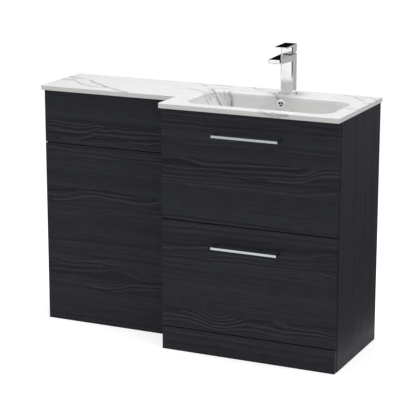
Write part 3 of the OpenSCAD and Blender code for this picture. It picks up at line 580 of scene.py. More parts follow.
def drawnLines(sheet, lines, along, across, low, high):
    # the growth lines of one kind, each as a curve over the board's length
    total = 0.0
    length, height = high[0] - low[0], high[1] - low[1]
    share = sheet.maths("DIVIDE", sheet.minus(along, low[0] * mm), length * mm)
    for width, strength, points in lines:
        curve = sheet.add("ShaderNodeFloatCurve", {"Value": share})
        track = curve.mapping.curves[0].points
        spots = [((x - low[0]) / length, (z - low[1]) / height) for x, z in points]
        track[0].location, track[-1].location = spots[0], spots[-1]
        for spot in spots[1:-1]:
            track.new(*spot)
        curve.mapping.update()
        middle = sheet.addShare(curve.outputs[0], height * mm, low[1] * mm)
        total = useGroup(sheet, growthLine, {
            "Along": along, "Off": sheet.minus(across, middle), "Start": points[0][0] * mm,
            "End": points[-1][0] * mm, "Width": width * mm, "Strength": strength, "Mask": total})["Mask"]
    return total


def charcoalGrain(name, upright, seed, figure=(), low=(0, 0), high=(1, 1), paintedSheen=0.0):
    # grain runs along X, or up along Z on an upright board
    material, sheet, point = newMaterial(name)
    x, y, z = sheet.splitAxes(point)
    along, across, depth = (z, y, x) if upright else (x, z, y)
    masks = {"dark": 0.0, "light": 0.0, "calm": 0.0}
    if figure:
        waves, reach = charcoal["ripple"]
        ripple = sheet.noise(sheet.joinAxes(sheet.times(along, waves), 0.0, across))
        moved = sheet.addShare(sheet.minus(ripple, 0.5), reach, across)
        for kind in masks:
            lines = [line[1:] for line in figure if line[0] == kind]
            masks[kind] = drawnLines(sheet, lines, along, moved, low, high)
    grain = useGroup(sheet, grainLines, {
        "Along": along, "Across": across, "Depth": depth, "Seed": seed, "Quiet": masks["calm"]})
    # painted sheen: the side boards' grain is drawn lighter
    tone = sheet.plus(grain["Tone"], paintedSheen)
    if figure:
        darkening = sheet.addShare(masks["dark"], -charcoal["darkLine"], 1.0)
        tone = sheet.times(tone, sheet.maths("MAXIMUM", darkening, 0.0))
        tone = sheet.addShare(masks["light"], charcoal["lightLine"], tone)
    pores = grain["Pores"]
    color = sheet.blend(tone, charcoal["dark"], charcoal["light"])
    color = sheet.blend(sheet.times(pores, charcoal["pores"][2]), color, charcoal["pore"])
    rough = sheet.addShare(pores, charcoal["poreRoughness"], charcoal["roughness"])
    rough = sheet.plus(rough, smearOn(sheet, point, "grain"))
    closeMaterial(sheet, color, rough, sheet.minus(tone, pores), 0.00018, 0.55,
                  Specular_IOR_Level=charcoal["shine"])
    return material


def shaded(color, share):
    return [value * share for value in color[:3]] + [1]


def polishedMetal(name, color, roughness, brushed=0.0):
    material, sheet, point = newMaterial(name)
    smear = smearOn(sheet, point, "metal")
    lines = sheet.noise(sheet.drawnOut(*sheet.splitAxes(point), 12.0, 700.0), rough=0.6)
    rough = sheet.plus(sheet.addShare(lines, brushed, roughness), smear)
    dullness = sheet.maths("MULTIPLY_ADD", lines, brushed, smear, clamp=True)
    shade = sheet.blend(dullness, color, shaded(color, 0.86))
    closeMaterial(sheet, shade, rough, lines, 0.00005, brushed, Metallic=1.0)
    return material


def mouldedPlastic(name, color, roughness, grainScale, depth=0.00006):
    material, sheet, point = newMaterial(name)
    smear = smearOn(sheet, point, "moulding")
    pebble = sheet.noise(point, grainScale, detail=3.0, rough=0.6)
    wear = sheet.maths("MULTIPLY_ADD", pebble, 0.3, smear, clamp=True)
    closeMaterial(sheet, sheet.blend(wear, color, shaded(color, 0.82)), sheet.plus(smear, roughness),
                  pebble, depth, 0.4)
    return material


linen = {
    "light": (0.60, 0.60, 0.585, 1), "dark": (0.50, 0.50, 0.49, 1), "roughness": 0.42,
    "threads": 5200.0,      # radians per metre
}


def paleBoard():
    # pale melamine with a fine linen texture
    material, sheet, point = newMaterial("paleBoard")
    threads = [sheet.maths("SINE", sheet.times(axis, linen["threads"])) for axis in sheet.splitAxes(point)]
    weave = sheet.times(sheet.plus(*threads), 0.33)
    color = sheet.blend(sheet.noise(point, 60.0, detail=3.0, rough=0.6), linen["light"], linen["dark"])
    rough = sheet.plus(smearOn(sheet, point, "linen"), linen["roughness"])
    closeMaterial(sheet, color, rough, weave, 0.00003, 0.5)
    return material


print("scene: materials")
metals = {
    # color, roughness and how strongly it is brushed
    "chromePolish": ((0.88, 0.885, 0.89, 1), 0.03, 0.0),
    "handleChrome": ((0.492, 0.504, 0.552, 1), 0.14, 0.05),
    "zincSteel": ((0.52, 0.54, 0.57, 1), 0.30, 0.16),
    "runnerSteel": ((0.56, 0.58, 0.60, 1), 0.24, 0.12),
    "brassMachined": ((0.70, 0.52, 0.24, 1), 0.22, 0.14),
}
finish = {name: polishedMetal(name, *values) for name, values in metals.items()}
# black rubber for the seal, also used as painted shade in the overflow's channel
finish["blackRubberAndShade"] = mouldedPlastic("blackRubberAndShade", (0.018, 0.018, 0.019, 1), 0.62, 420.0, 0.0001)
finish["whiteMoulding"] = mouldedPlastic("whiteMoulding", (0.72, 0.72, 0.70, 1), 0.38, 600.0)
finish["paleBoard"] = paleBoard()


# basin top

slabLow, slabHigh = boxOf("basin_top")
basin = {
    # the slab, with the step over the joint of the cabinets and its front over the toilet unit
    "left": slabLow.x, "right": slabHigh.x, "front": slabLow.y, "back": slabHigh.y, "top": slabHigh.z,
    "step": -53, "wcFront": -59.5, "under": 801, "cornerRadius": 7, "edgeRadius": 1.8,
    # the bowl's left, right, front and back wall at the slab's top, and how far they lean in over its depth
    "bowl": (18, 498, -138.5, 77.5), "leans": (60, -30, 26, -15), "depth": 118, "wall": 12,
    "bowlCorner": 48, "floorRadius": 30, "rimRadius": 12, "rimSteps": 8, "rimOver": 0.03, "rimCut": 4,
    # the underside: where its shell starts below the top, the boss round the waste, the rib and the duct
    "shellStart": 9, "bossLow": slabLow.z, "bossRadius": 36, "bossEdge": 1.5, "bossCover": 6,
    "rib": 12, "ribBack": 108.5, "ribRound": 4, "ductWidth": 15,
    "waste": (258, -22.5), "wasteHole": 22.5, "tap": (258, 138.5), "tapHole": 17.5,
    "overflow": (258, 74.58, 794), "overflowTilt": 7.24, "overflowHole": 9.1, "overflowDepth": 11,
}
hair = 0.02      # millimetres that keep the faces of joined blocks out of one plane
clear = 10       # millimetres that a cutting tool runs past what it cuts


def addUpright(name, place, radius, low, high, corners=96):
    # a round bar that stands between two heights
    return addRound(name, (*place, (low + high) / 2), radius, high - low, corners=corners)


def overflowAxis():
    # the turn of the overflow's round pieces, and the way that they face out of the leaning wall
    tilt = math.radians(basin["overflowTilt"])
    return (math.pi / 2 - tilt, 0, 0), Vector((0, -math.cos(tilt), math.sin(tilt)))


def addOnOverflow(name, radius, inner, outer, corners=64):
    # a round bar on the overflow's axis, between two distances out of the wall
    turn, outward = overflowAxis()
    centre = Vector(basin["overflow"]) + outward * (inner + outer) / 2
    return addRound(name, centre, radius, outer - inner, turn, corners)


def bowlWalls(depth, grow=0):
    # left, right, front and back of the bowl at a depth below the slab's top
    share = depth / basin["depth"]
    left, right, front, back = [wall + lean * share for wall, lean in zip(basin["bowl"], basin["leans"])]
    return left - grow, right + grow, front - grow, back + grow


def bowlBlock(name, start, grow):
    # the bowl's body below a depth, as its hollow or, grown by the wall, as its shell
    end = basin["depth"] + grow
    top, floor = basin["top"] - start, basin["top"] - end
    left, right, front, back = bowlWalls(start, grow)
    lowLeft, lowRight, lowFront, lowBack = bowlWalls(end, grow)
    piece = addBlock(name, (left, front, floor), (right, back, top))
    middle = Vector((left + right, front + back)) / 2 * mm

    def leanIn(test, shift):
        moveCorners(piece, lambda corner: corner.co.z < top * mm - tiny and test(corner.co), shift)

    leanIn(lambda spot: spot.x < middle.x, (lowLeft - left, 0, 0))
    leanIn(lambda spot: spot.x > middle.x, (lowRight - right, 0, 0))
    leanIn(lambda spot: spot.y < middle.y, (0, lowFront - front, 0))
    leanIn(lambda spot: spot.y > middle.y, (0, lowBack - back, 0))
    # the walls' edges lean, so they pass a wider test
    bevelWhere(piece, lambda edge: runsUp(edge, slack=0.35), basin["bowlCorner"] + grow, steps=14)
    bevelWhere(piece, lambda edge: liesAt(edge, floor), basin["floorRadius"] + grow, steps=8)
    return piece


def flareRim(piece):
    # opens the hollow's top outward in a quarter round, and takes it just past the slab
    radius = basin["rimRadius"]
    level = (basin["top"] - radius) * mm
    editWhere(piece, "FACE", lambda face: abs(face.calc_center_median().z - level) < tiny
              and face.normal.z > 0.9)
    depth, walls = radius, bowlWalls(radius)
    for step in range(1, basin["rimSteps"] + 1):
        turn = math.radians(90 * step / basin["rimSteps"])
        newDepth = radius * (1 - math.sin(turn)) if step < basin["rimSteps"] else -basin["rimOver"]
        newWalls = bowlWalls(max(newDepth, 0), radius * (1 - math.cos(turn)))
        left, right, front, back = walls
        newLeft, newRight, newFront, newBack = newWalls
        centre = Vector((newLeft + newRight, newFront + newBack, 0)) / 2
        shift = centre - Vector((left + right, front + back, 0)) / 2 + Vector((0, 0, depth - newDepth))
        bpy.ops.mesh.extrude_region_move(TRANSFORM_OT_translate={"value": shift * mm})
        bpy.ops.transform.resize(
            value=((newRight - newLeft) / (right - left), (newBack - newFront) / (back - front), 1),
            center_override=centre * mm)
        depth, walls = newDepth, newWalls
    bpy.ops.mesh.extrude_region_move(TRANSFORM_OT_translate={"value": (0, 0, basin["rimCut"] * mm)})
    editDone()


def makeBasin():
    top, under, bossLow = basin["top"], basin["under"], basin["bossLow"]
    slab = addBlock("basinTop", (basin["step"], basin["front"], under), (basin["right"], basin["back"], top))
    # the shallow part over the toilet unit grows out of the deep part's left side
    splitFaces(slab, (0, basin["wcFront"], 0), (0, 1, 0))
    inner = Vector((basin["step"], basin["wcFront"])) * mm
    pullFaces(slab, lambda face: face.normal.x < -0.9 and face.calc_center_median().y > inner.y,
              (basin["left"] - basin["step"], 0, 0))
    mergeFlat(slab)

    def isFrontCorner(edge):
        spot = edge.verts[0].co
        onWall = spot.y > basin["back"] * mm - tiny
        return runsUp(edge) and not onWall and (spot.xy - inner).length > tiny

    bevelWhere(slab, isFrontCorner, basin["cornerRadius"], steps=8)
    bevelWhere(slab, lambda edge: liesAt(edge, top) or liesAt(edge, under), basin["edgeRadius"], steps=4)

    # the bowl's shell, and the boss, rib and duct below it
    join(slab, bowlBlock("bowlShell", basin["shellStart"], basin["wall"]))
    x, y = basin["waste"]
    rib, bowlBack = basin["rib"], basin["bowl"][3]
    bossTop = top - basin["depth"] - basin["bossCover"]
    boss = addUpright("boss", (x, y), basin["bossRadius"], bossLow, bossTop)
    softenEdges(boss, basin["bossEdge"])
    join(slab, boss)
    ribBlock = addBlock("rib", (x - rib, y, bossLow + hair), (x + rib, basin["ribBack"], bossTop))
    bevelWhere(ribBlock, lambda edge: runsUp(edge) and edge.verts[0].co.y > y * mm + tiny,
               basin["ribRound"], steps=4)
    join(slab, ribBlock)
    duct = addBlock("duct", (x - rib, bowlBack - basin["ductWidth"], bossLow + 2 * hair),
                    (x + rib, basin["ribBack"] - hair, under + 1))
    bevelWhere(duct, lambda edge: runsUp(edge) and edge.verts[0].co.y > bowlBack * mm,
               basin["ribRound"], steps=4)
    join(slab, duct)

    hollow = bowlBlock("bowlHollow", basin["rimRadius"], 0)
    flareRim(hollow)
    carve(slab, hollow)
    floor = top - basin["depth"]
    carve(slab, addUpright("wasteHole", (x, y), basin["wasteHole"], bossLow - clear, floor + clear))
    carve(slab, addUpright("tapHole", basin["tap"], basin["tapHole"], under - clear, top + clear))
    depth = basin["overflowDepth"]
    carve(slab, addOnOverflow("overflowHole", basin["overflowHole"], -depth, depth))
    return finishPiece(slab, marbleTop(), "cabinet", ["basin_top"], angle=30)


print("scene: basin top")
makeBasin()


# boards

boardEdge = {"front": 1.0, "side": 0.6, "steps": 3}

# node: piece, body and seed of its grain
frontBoards = {
    "wc_upper_front": ("wcUpperFront", "access_panel", 3.1),
    "wc_lower_front": ("wcLowerFront", "cabinet", 7.4),
    "upper_drawer_front": ("upperDrawerFront", "upper_drawer", 12.9),
    "lower_drawer_front": ("lowerDrawerFront", "lower_drawer", 21.7),
    "plinth": ("plinthBoard", "cabinet", 30.2),
}

# growth lines that stand out on the fronts: kind, half width, strength and the points X, Z they run through
grainFigures = {
    "wc_upper_front": [
        ("calm", 32.9, 0.80, [(-544, 754), (-338, 757), (-117, 755)]),
        ("dark", 21.2, 0.12, [(-547, 651), (-416, 656), (-265, 659), (-118, 665)]),
        ("light", 1.9, 0.55, [
            (-542, 695), (-507, 696), (-476, 694), (-446, 692), (-415, 692), (-385, 694), (-358, 700)]),
        ("dark", 2.1, 0.62, [
            (-546, 690), (-507, 690), (-476, 688), (-446, 687), (-415, 688), (-385, 690), (-362, 695),
            (-343, 699), (-324, 695), (-272, 697), (-220, 695), (-118, 701)]),
        ("light", 1.9, 0.55, [
            (-546, 685), (-507, 685), (-477, 684), (-446, 681), (-415, 682), (-385, 685), (-362, 690),
            (-347, 693), (-328, 690)]),
        ("dark", 2.4, 0.70, [
            (-546, 679), (-508, 680), (-477, 678), (-446, 675), (-416, 675), (-385, 679), (-362, 685),
            (-343, 688), (-325, 685), (-295, 689), (-265, 690), (-242, 688), (-205, 690), (-154, 691),
            (-118, 688)]),
        ("light", 2.4, 0.75, [
            (-546, 672), (-508, 670), (-477, 666), (-446, 664), (-416, 665), (-385, 670), (-362, 678),
            (-343, 681), (-325, 676), (-310, 679), (-280, 683), (-257, 681), (-228, 681), (-176, 682),
            (-118, 683)]),
        ("dark", 5.4, 0.72, [(-547, 655), (-508, 655), (-477, 654), (-447, 654), (-416, 655), (-393, 661)]),
        ("dark", 2.8, 0.72, [
            (-401, 659), (-370, 670), (-351, 673), (-329, 669), (-295, 674), (-265, 672), (-243, 672),
            (-191, 674), (-118, 677)]),
        ("light", 2.1, 0.70, [
            (-478, 641), (-439, 641), (-409, 644), (-386, 652), (-363, 660), (-344, 663), (-317, 663),
            (-265, 665), (-228, 666), (-176, 668), (-118, 669)]),
        ("dark", 4.9, 0.72, [
            (-401, 641), (-378, 648), (-348, 650), (-303, 651), (-250, 652), (-176, 656), (-118, 663)]),
        ("light", 2.1, 0.35, [(-470, 633), (-416, 631), (-340, 636), (-288, 636), (-228, 644), (-187, 646)]),
        ("light", 1.9, 0.55, [(-169, 641), (-147, 649), (-118, 654)]),
        ("dark", 3.5, 0.65, [(-165, 639), (-147, 645), (-118, 646)]),
        ("dark", 2.1, 0.30, [(-271, 771), (-227, 769), (-172, 768), (-117, 771)]),
    ],
    "wc_lower_front": [
        ("calm", 30.6, 0.75, [(-546, 523), (-342, 526), (-119, 527)]),
        ("calm", 37.6, 0.75, [(-547, 341), (-345, 349), (-120, 347)]),
        ("calm", 35.2, 0.80, [(-551, 58), (-350, 59), (-122, 55)]),
        ("dark", 21.2, 0.12, [(-549, 443), (-344, 450), (-119, 450)]),
        ("dark", 30.6, 0.14, [(-383, 373), (-269, 365), (-120, 364)]),
        ("dark", 32.9, 0.14, [(-547, 184), (-387, 190), (-234, 181), (-121, 174)]),
        ("light", 2.1, 0.40, [
            (-544, 607), (-494, 603), (-436, 601), (-379, 602), (-322, 603), (-266, 599), (-192, 599),
            (-118, 598)]),
        ("dark", 2.1, 0.50, [
            (-545, 594), (-494, 596), (-436, 594), (-379, 594), (-304, 591), (-247, 587), (-173, 588)]),
        ("light", 2.1, 0.40, [(-510, 592), (-471, 591), (-417, 589), (-372, 589), (-304, 586)]),
        ("dark", 2.1, 0.45, [(-494, 608), (-417, 606), (-341, 607), (-266, 605), (-192, 603), (-118, 603)]),
        ("dark", 4.5, 0.68, [
            (-548, 453), (-497, 460), (-458, 464), (-428, 464), (-389, 469), (-355, 470), (-305, 471),
            (-260, 467), (-215, 467)]),
        ("light", 2.1, 0.65, [
            (-549, 441), (-498, 441), (-467, 446), (-439, 456), (-405, 463), (-374, 463), (-328, 462),
            (-275, 460), (-230, 458)]),
        ("dark", 2.1, 0.65, [
            (-549, 436), (-506, 437), (-467, 441), (-436, 449), (-405, 456), (-374, 457), (-328, 456),
            (-275, 454), (-230, 451), (-204, 451)]),
        ("light", 2.6, 0.85, [
            (-514, 424), (-483, 427), (-459, 431), (-428, 441), (-389, 449), (-351, 451), (-306, 447),
            (-260, 445), (-216, 443), (-175, 443), (-141, 449), (-119, 455)]),
        ("dark", 3.5, 0.80, [(-219, 451), (-189, 449), (-156, 452), (-138, 459)]),
        ("dark", 2.4, 0.50, [
            (-549, 418), (-498, 421), (-452, 426), (-405, 437), (-359, 438), (-306, 435), (-246, 433),
            (-175, 433), (-119, 441)]),
        ("light", 2.1, 0.35, [(-515, 385), (-491, 380), (-452, 386), (-414, 394)]),
        ("dark", 1.9, 0.40, [(-550, 386), (-499, 388), (-383, 406), (-268, 418), (-119, 428)]),
        ("light", 1.9, 0.30, [(-306, 395), (-231, 399), (-119, 402)]),
        ("dark", 2.4, 0.40, [(-299, 390), (-231, 392), (-120, 396)]),
        ("dark", 2.4, 0.45, [(-454, 293), (-400, 296), (-346, 297), (-278, 297), (-217, 294), (-120, 299)]),
        ("dark", 2.4, 0.55, [
            (-456, 223), (-425, 225), (-386, 229), (-347, 235), (-324, 240), (-301, 240), (-259, 240),
            (-233, 240), (-180, 241), (-121, 244)]),
        ("light", 2.1, 0.60, [
            (-487, 216), (-456, 217), (-425, 216), (-394, 221), (-363, 222), (-332, 222), (-309, 219),
            (-279, 217)]),
        ("dark", 2.4, 0.60, [
            (-551, 200), (-503, 205), (-456, 206), (-425, 208), (-394, 210), (-348, 218), (-309, 213),
            (-279, 212)]),
        ("light", 1.9, 0.45, [(-519, 198), (-488, 200), (-456, 200), (-425, 201), (-394, 205), (-348, 212)]),
        ("dark", 3.8, 0.68, [
            (-551, 186), (-504, 191), (-480, 192), (-457, 192), (-425, 193), (-394, 196), (-348, 200),
            (-309, 206)]),
        ("light", 2.1, 0.60, [(-540, 180), (-504, 181), (-457, 181), (-426, 183), (-360, 191), (-325, 194)]),
        ("dark", 2.8, 0.60, [(-552, 167), (-489, 170), (-441, 174), (-379, 179), (-348, 181), (-310, 181)]),
        ("dark", 9.4, 0.55, [(-442, 167), (-395, 169), (-348, 170), (-302, 173), (-264, 179)]),
        ("dark", 2.1, 0.75, [
            (-333, 193), (-302, 193), (-279, 189), (-268, 185), (-252, 188), (-241, 183), (-226, 180)]),
        ("light", 1.9, 0.35, [(-489, 150), (-457, 162), (-426, 164), (-379, 167)]),
        ("light", 1.9, 0.35, [(-537, 140), (-489, 143), (-442, 150), (-395, 157)]),
        ("dark", 1.9, 0.60, [
            (-552, 143), (-497, 147), (-450, 148), (-380, 150), (-333, 149), (-303, 151), (-272, 156),
            (-257, 164), (-245, 170)]),
        ("light", 2.1, 0.65, [(-245, 195), (-226, 189), (-211, 183), (-196, 179), (-173, 178), (-121, 184)]),
        ("light", 1.9, 0.45, [(-218, 197), (-199, 190), (-185, 185), (-158, 187), (-121, 192)]),
        ("dark", 2.1, 0.70, [(-218, 192), (-203, 187), (-188, 183), (-166, 183), (-121, 185)]),
        ("dark", 3.8, 0.82, [(-241, 162), (-211, 166), (-181, 170), (-121, 172)]),
        ("light", 1.9, 0.40, [
            (-458, 136), (-419, 139), (-364, 141), (-303, 146), (-272, 152), (-257, 158), (-241, 166)]),
        ("dark", 2.1, 0.60, [
            (-458, 130), (-395, 141), (-364, 140), (-333, 139), (-303, 141), (-272, 147), (-253, 155),
            (-238, 163)]),
        ("light", 2.6, 0.80, [
            (-395, 137), (-364, 135), (-334, 133), (-303, 135), (-280, 140), (-257, 146), (-241, 153),
            (-211, 157), (-181, 158), (-121, 165)]),
        ("dark", 2.4, 0.80, [
            (-395, 130), (-365, 124), (-334, 124), (-311, 129), (-272, 135), (-249, 142), (-234, 147),
            (-181, 152), (-121, 159)]),
        ("light", 1.9, 0.40, [(-303, 127), (-272, 129), (-249, 136), (-211, 143), (-121, 153)]),
        ("dark", 2.6, 0.50, [
            (-349, 120), (-318, 121), (-295, 118), (-272, 119), (-242, 129), (-181, 137), (-121, 145)]),
    ],
    "upper_drawer_front": [
        ("calm", 21.2, 0.70, [(-50, 686), (257, 685), (546, 680)]),
        ("calm", 37.6, 0.75, [(-51, 499), (259, 512), (550, 525)]),
        ("dark", 32.9, 0.13, [(-51, 604), (258, 615), (548, 618)]),
        ("dark", 23.5, 0.10, [(-51, 526), (190, 531), (549, 543)]),
        ("light", 2.1, 0.35, [(-18, 786), (86, 783), (206, 785), (296, 784)]),
        ("dark", 2.1, 0.45, [(-25, 789), (86, 788), (189, 789), (296, 789)]),
        ("dark", 2.1, 0.50, [
            (276, 786), (349, 785), (392, 781), (422, 777), (461, 776), (500, 776), (544, 775)]),
        ("light", 1.9, 0.45, [(296, 785), (343, 781), (389, 778), (428, 774), (487, 772)]),
        ("dark", 1.9, 0.40, [(369, 790), (422, 788), (454, 783), (493, 782), (544, 783)]),
        ("light", 1.9, 0.35, [(31, 697), (86, 695), (142, 698), (196, 701), (257, 700), (304, 701)]),
        ("light", 1.9, 0.35, [(384, 699), (436, 698), (488, 696), (546, 694)]),
        ("light", 2.4, 0.75, [
            (27, 645), (45, 642), (59, 638), (86, 633), (114, 631), (142, 632), (196, 636), (251, 639),
            (305, 642), (358, 645), (411, 647)]),
        ("dark", 3.1, 0.75, [
            (38, 647), (66, 647), (86, 641), (128, 641), (169, 643), (224, 646), (251, 646), (304, 647),
            (358, 648), (388, 650)]),
        ("dark", 10.3, 0.75, [(-50, 628), (-12, 631), (24, 631), (52, 628), (79, 625)]),
        ("dark", 5.6, 0.75, [
            (52, 628), (86, 624), (128, 624), (169, 625), (224, 628), (278, 632), (331, 635), (391, 637),
            (444, 644)]),
        ("light", 2.1, 0.60, [
            (-51, 613), (-26, 613), (2, 612), (31, 611), (59, 613), (114, 617), (142, 619), (169, 618),
            (197, 617), (224, 618), (278, 622), (331, 624), (385, 626), (424, 627), (444, 631), (470, 641)]),
        ("dark", 2.4, 0.70, [
            (-51, 606), (-26, 607), (2, 606), (31, 606), (86, 609), (142, 612), (169, 611), (197, 610),
            (224, 611), (278, 614), (332, 617), (385, 618), (424, 621), (444, 625), (463, 632), (489, 644),
            (515, 650), (547, 650)]),
        ("light", 2.1, 0.65, [
            (278, 607), (332, 610), (385, 613), (411, 613), (441, 618), (463, 628), (476, 634), (492, 640),
            (515, 645), (547, 645)]),
        ("dark", 2.4, 0.70, [
            (278, 601), (332, 603), (411, 608), (437, 613), (457, 620), (476, 629), (496, 635), (522, 639),
            (547, 639)]),
        ("light", 3.1, 0.80, [
            (325, 600), (372, 601), (411, 603), (438, 608), (457, 615), (477, 622), (496, 629), (522, 632),
            (548, 634)]),
        ("dark", 2.4, 0.50, [
            (298, 594), (358, 595), (411, 597), (438, 602), (464, 609), (490, 616), (522, 619), (548, 618)]),
        ("light", 1.9, 0.40, [(-51, 596), (16, 597), (86, 600), (142, 600), (197, 601), (251, 601)]),
        ("dark", 1.9, 0.45, [(-51, 591), (16, 589), (86, 593), (142, 594), (210, 595), (278, 596)]),
        ("light", 1.9, 0.38, [(-51, 583), (16, 583), (86, 586), (142, 589), (210, 590)]),
        ("dark", 1.9, 0.40, [(-51, 577), (30, 578), (114, 578), (197, 581), (258, 582), (332, 582)]),
        ("light", 1.9, 0.35, [(2, 570), (58, 571), (135, 573), (224, 576), (298, 581)]),
        ("dark", 1.9, 0.50, [
            (-26, 565), (30, 567), (86, 568), (169, 571), (224, 570), (278, 570), (325, 569), (392, 569),
            (422, 569), (464, 577), (548, 588)]),
        ("light", 2.1, 0.45, [
            (30, 561), (114, 562), (169, 561), (251, 564), (305, 565), (372, 564), (402, 563), (425, 563),
            (464, 569), (549, 581)]),
        ("dark", 1.6, 0.35, [(412, 587), (464, 595), (548, 603)]),
        ("light", 1.6, 0.35, [(438, 596), (490, 606), (548, 610)]),
    ],
    "lower_drawer_front": [
        ("calm", 61.1, 0.80, [(-53, 225), (261, 239), (549, 244)]),
        ("dark", 28.2, 0.12, [(-52, 340), (260, 357), (547, 372)]),
        ("dark", 21.2, 0.22, [(415, 363), (481, 367), (547, 366)]),
        ("dark", 2.1, 0.55, [
            (-52, 371), (16, 373), (86, 380), (142, 387), (225, 394), (280, 398), (334, 400)]),
        ("dark", 6.1, 0.68, [
            (-52, 361), (-27, 359), (1, 359), (37, 359), (86, 366), (142, 375), (198, 378), (239, 377),
            (280, 374), (328, 377), (378, 383), (428, 382), (481, 390), (546, 395)]),
        ("light", 2.1, 0.45, [(-52, 342), (1, 348), (58, 353), (107, 359)]),
        ("dark", 2.8, 0.60, [
            (-52, 331), (30, 342), (104, 349), (170, 351), (226, 352), (280, 351), (321, 349), (362, 349),
            (415, 353), (547, 368)]),
        ("light", 1.9, 0.45, [(149, 340), (226, 343), (294, 345), (335, 342)]),
        ("dark", 1.9, 0.55, [
            (129, 330), (226, 337), (280, 338), (321, 336), (355, 333), (415, 336), (547, 348)]),
        ("light", 1.9, 0.45, [
            (115, 324), (170, 327), (226, 330), (280, 330), (328, 331), (375, 330), (429, 333)]),
        ("dark", 2.1, 0.70, [
            (-52, 318), (1, 318), (58, 319), (115, 319), (170, 320), (226, 323), (281, 324), (335, 324),
            (375, 324), (429, 328), (482, 331), (548, 333)]),
        ("light", 1.9, 0.40, [(143, 313), (226, 317), (281, 318), (335, 319), (396, 320)]),
        ("light", 2.1, 0.40, [(361, 359), (402, 361), (442, 367), (488, 378), (533, 387)]),
        ("dark", 1.9, 0.55, [(495, 328), (522, 324), (548, 321)]),
        ("light", 1.9, 0.45, [(492, 324), (522, 319), (548, 315)]),
        ("dark", 1.9, 0.50, [(489, 316), (522, 311), (548, 309)]),
        ("dark", 2.6, 0.80, [
            (-54, 143), (-25, 144), (1, 142), (29, 145), (51, 144), (69, 140), (86, 131), (104, 125),
            (122, 122), (143, 120), (171, 120), (199, 126), (220, 135), (237, 148)]),
        ("light", 2.1, 0.60, [
            (29, 139), (44, 135), (58, 133), (76, 129), (94, 123), (115, 117), (136, 113), (164, 114),
            (199, 121), (227, 131)]),
        ("dark", 2.4, 0.75, [
            (-54, 129), (-21, 132), (1, 132), (22, 130), (44, 129), (58, 126), (76, 122), (94, 116),
            (115, 112), (136, 108), (164, 108), (192, 114), (227, 125), (244, 132)]),
        ("light", 2.4, 0.75, [
            (-50, 118), (-21, 121), (1, 120), (29, 121), (51, 120), (72, 117), (94, 111), (115, 106),
            (136, 102), (164, 103), (199, 109), (227, 117), (248, 124), (282, 122), (310, 122), (337, 120),
            (365, 116), (392, 116), (419, 119), (446, 120), (472, 121), (499, 121), (546, 117)]),
        ("dark", 2.1, 0.72, [
            (-50, 110), (-14, 115), (29, 115), (51, 115), (72, 111), (94, 106), (115, 102), (136, 97),
            (164, 98), (199, 104), (227, 110), (255, 113), (282, 114), (310, 114), (337, 112), (365, 110),
            (419, 112), (473, 115), (499, 116), (546, 114)]),
        ("light", 2.1, 0.55, [
            (-47, 104), (-14, 107), (22, 108), (51, 108), (76, 102), (101, 97), (129, 93), (150, 92),
            (199, 99), (255, 107), (283, 108), (310, 104), (338, 100), (365, 100), (399, 101)]),
        ("dark", 1.9, 0.50, [
            (-28, 98), (22, 100), (65, 97), (101, 92), (136, 86), (185, 90), (248, 100), (283, 102),
            (317, 97)]),
        ("dark", 1.9, 0.70, [
            (86, 145), (101, 139), (115, 134), (132, 130), (150, 128), (171, 132), (196, 141)]),
        ("light", 1.9, 0.55, [
            (83, 140), (101, 134), (115, 129), (132, 125), (157, 124), (185, 130), (206, 139)]),
        ("light", 1.9, 0.50, [(101, 148), (115, 143), (129, 138), (147, 135), (164, 135), (189, 143)]),
        ("dark", 1.9, 0.40, [(118, 147), (139, 144), (164, 143), (189, 151)]),
        ("dark", 4.2, 0.78, [
            (230, 125), (244, 132), (262, 137), (289, 139), (317, 140), (334, 138), (344, 131), (354, 126),
            (368, 125)]),
        ("dark", 3.1, 0.78, [
            (364, 125), (392, 127), (419, 125), (446, 127), (472, 128), (499, 128), (522, 125), (552, 124)]),
        ("light", 2.1, 0.60, [
            (378, 131), (422, 133), (445, 132), (472, 133), (499, 133), (525, 130), (545, 127)]),
        ("dark", 3.8, 0.72, [
            (391, 146), (418, 144), (445, 145), (472, 146), (499, 148), (525, 148), (552, 147)]),
        ("light", 6.6, 0.35, [(351, 140), (385, 137)]),
    ],
}

# node: piece and seed of its grain
sideBoards = {
    "wc_side_left": ("wcSideLeft", 41.3), "wc_side_right": ("wcSideRight", 46.8),
    "vanity_side_left": ("vanitySideLeft", 52.6), "vanity_side_right": ("vanitySideRight", 57.9),
}


def makeBoard(node, pieceName, grain, body, edge):
    board = addBlock(pieceName, *boxOf(node))
    softenEdges(board, edge, boardEdge["steps"])
    return finishPiece(board, grain, body, [node])


print("scene: boards")
for node, (pieceName, body, seed) in frontBoards.items():
    low, high = boxOf(node)
    grain = charcoalGrain(pieceName + "Grain", False, seed, grainFigures.get(node, ()), low.xz, high.xz)
    makeBoard(node, pieceName, grain, body, boardEdge["front"])
for node, (pieceName, seed) in sideBoards.items():
    # the side boards' grain gets a painted sheen, lighter than the fronts
    grain = charcoalGrain(pieceName + "Grain", True, seed, paintedSheen=charcoal["sidePaintedSheen"])
    makeBoard(node, pieceName, grain, "cabinet", boardEdge["side"])


# tap

tap = {
    "halfDepth": 20,      # of the body and the lever's block, without spout and plate
    "ringRadius": 30, "ringHeight": 3, "ringEdge": 1.0, "ringHole": 16,
    "tipHeight": 16, "rootHeight": 20, "spoutFall": 3,
    "plateHeight": 6, "leverFall": 2, "leverRise": 5.82,
    "tipRound": 4, "cornerRound": 4, "edgeRound": 0.4,
    # the cartridge's bore, the aerator's bore under the spout, and the lever's cavity and screw hole
    "boreRadius": 17.6, "boreFloor": 85,
    "outletRadius": 11.1, "outletReach": 109, "outletTop": 9.5, "outletDepth": 20,
    "cavityRadius": 13, "cavityTop": 145.5, "screwRadius": 2.6, "screwRise": 149, "screwStart": 3,
}


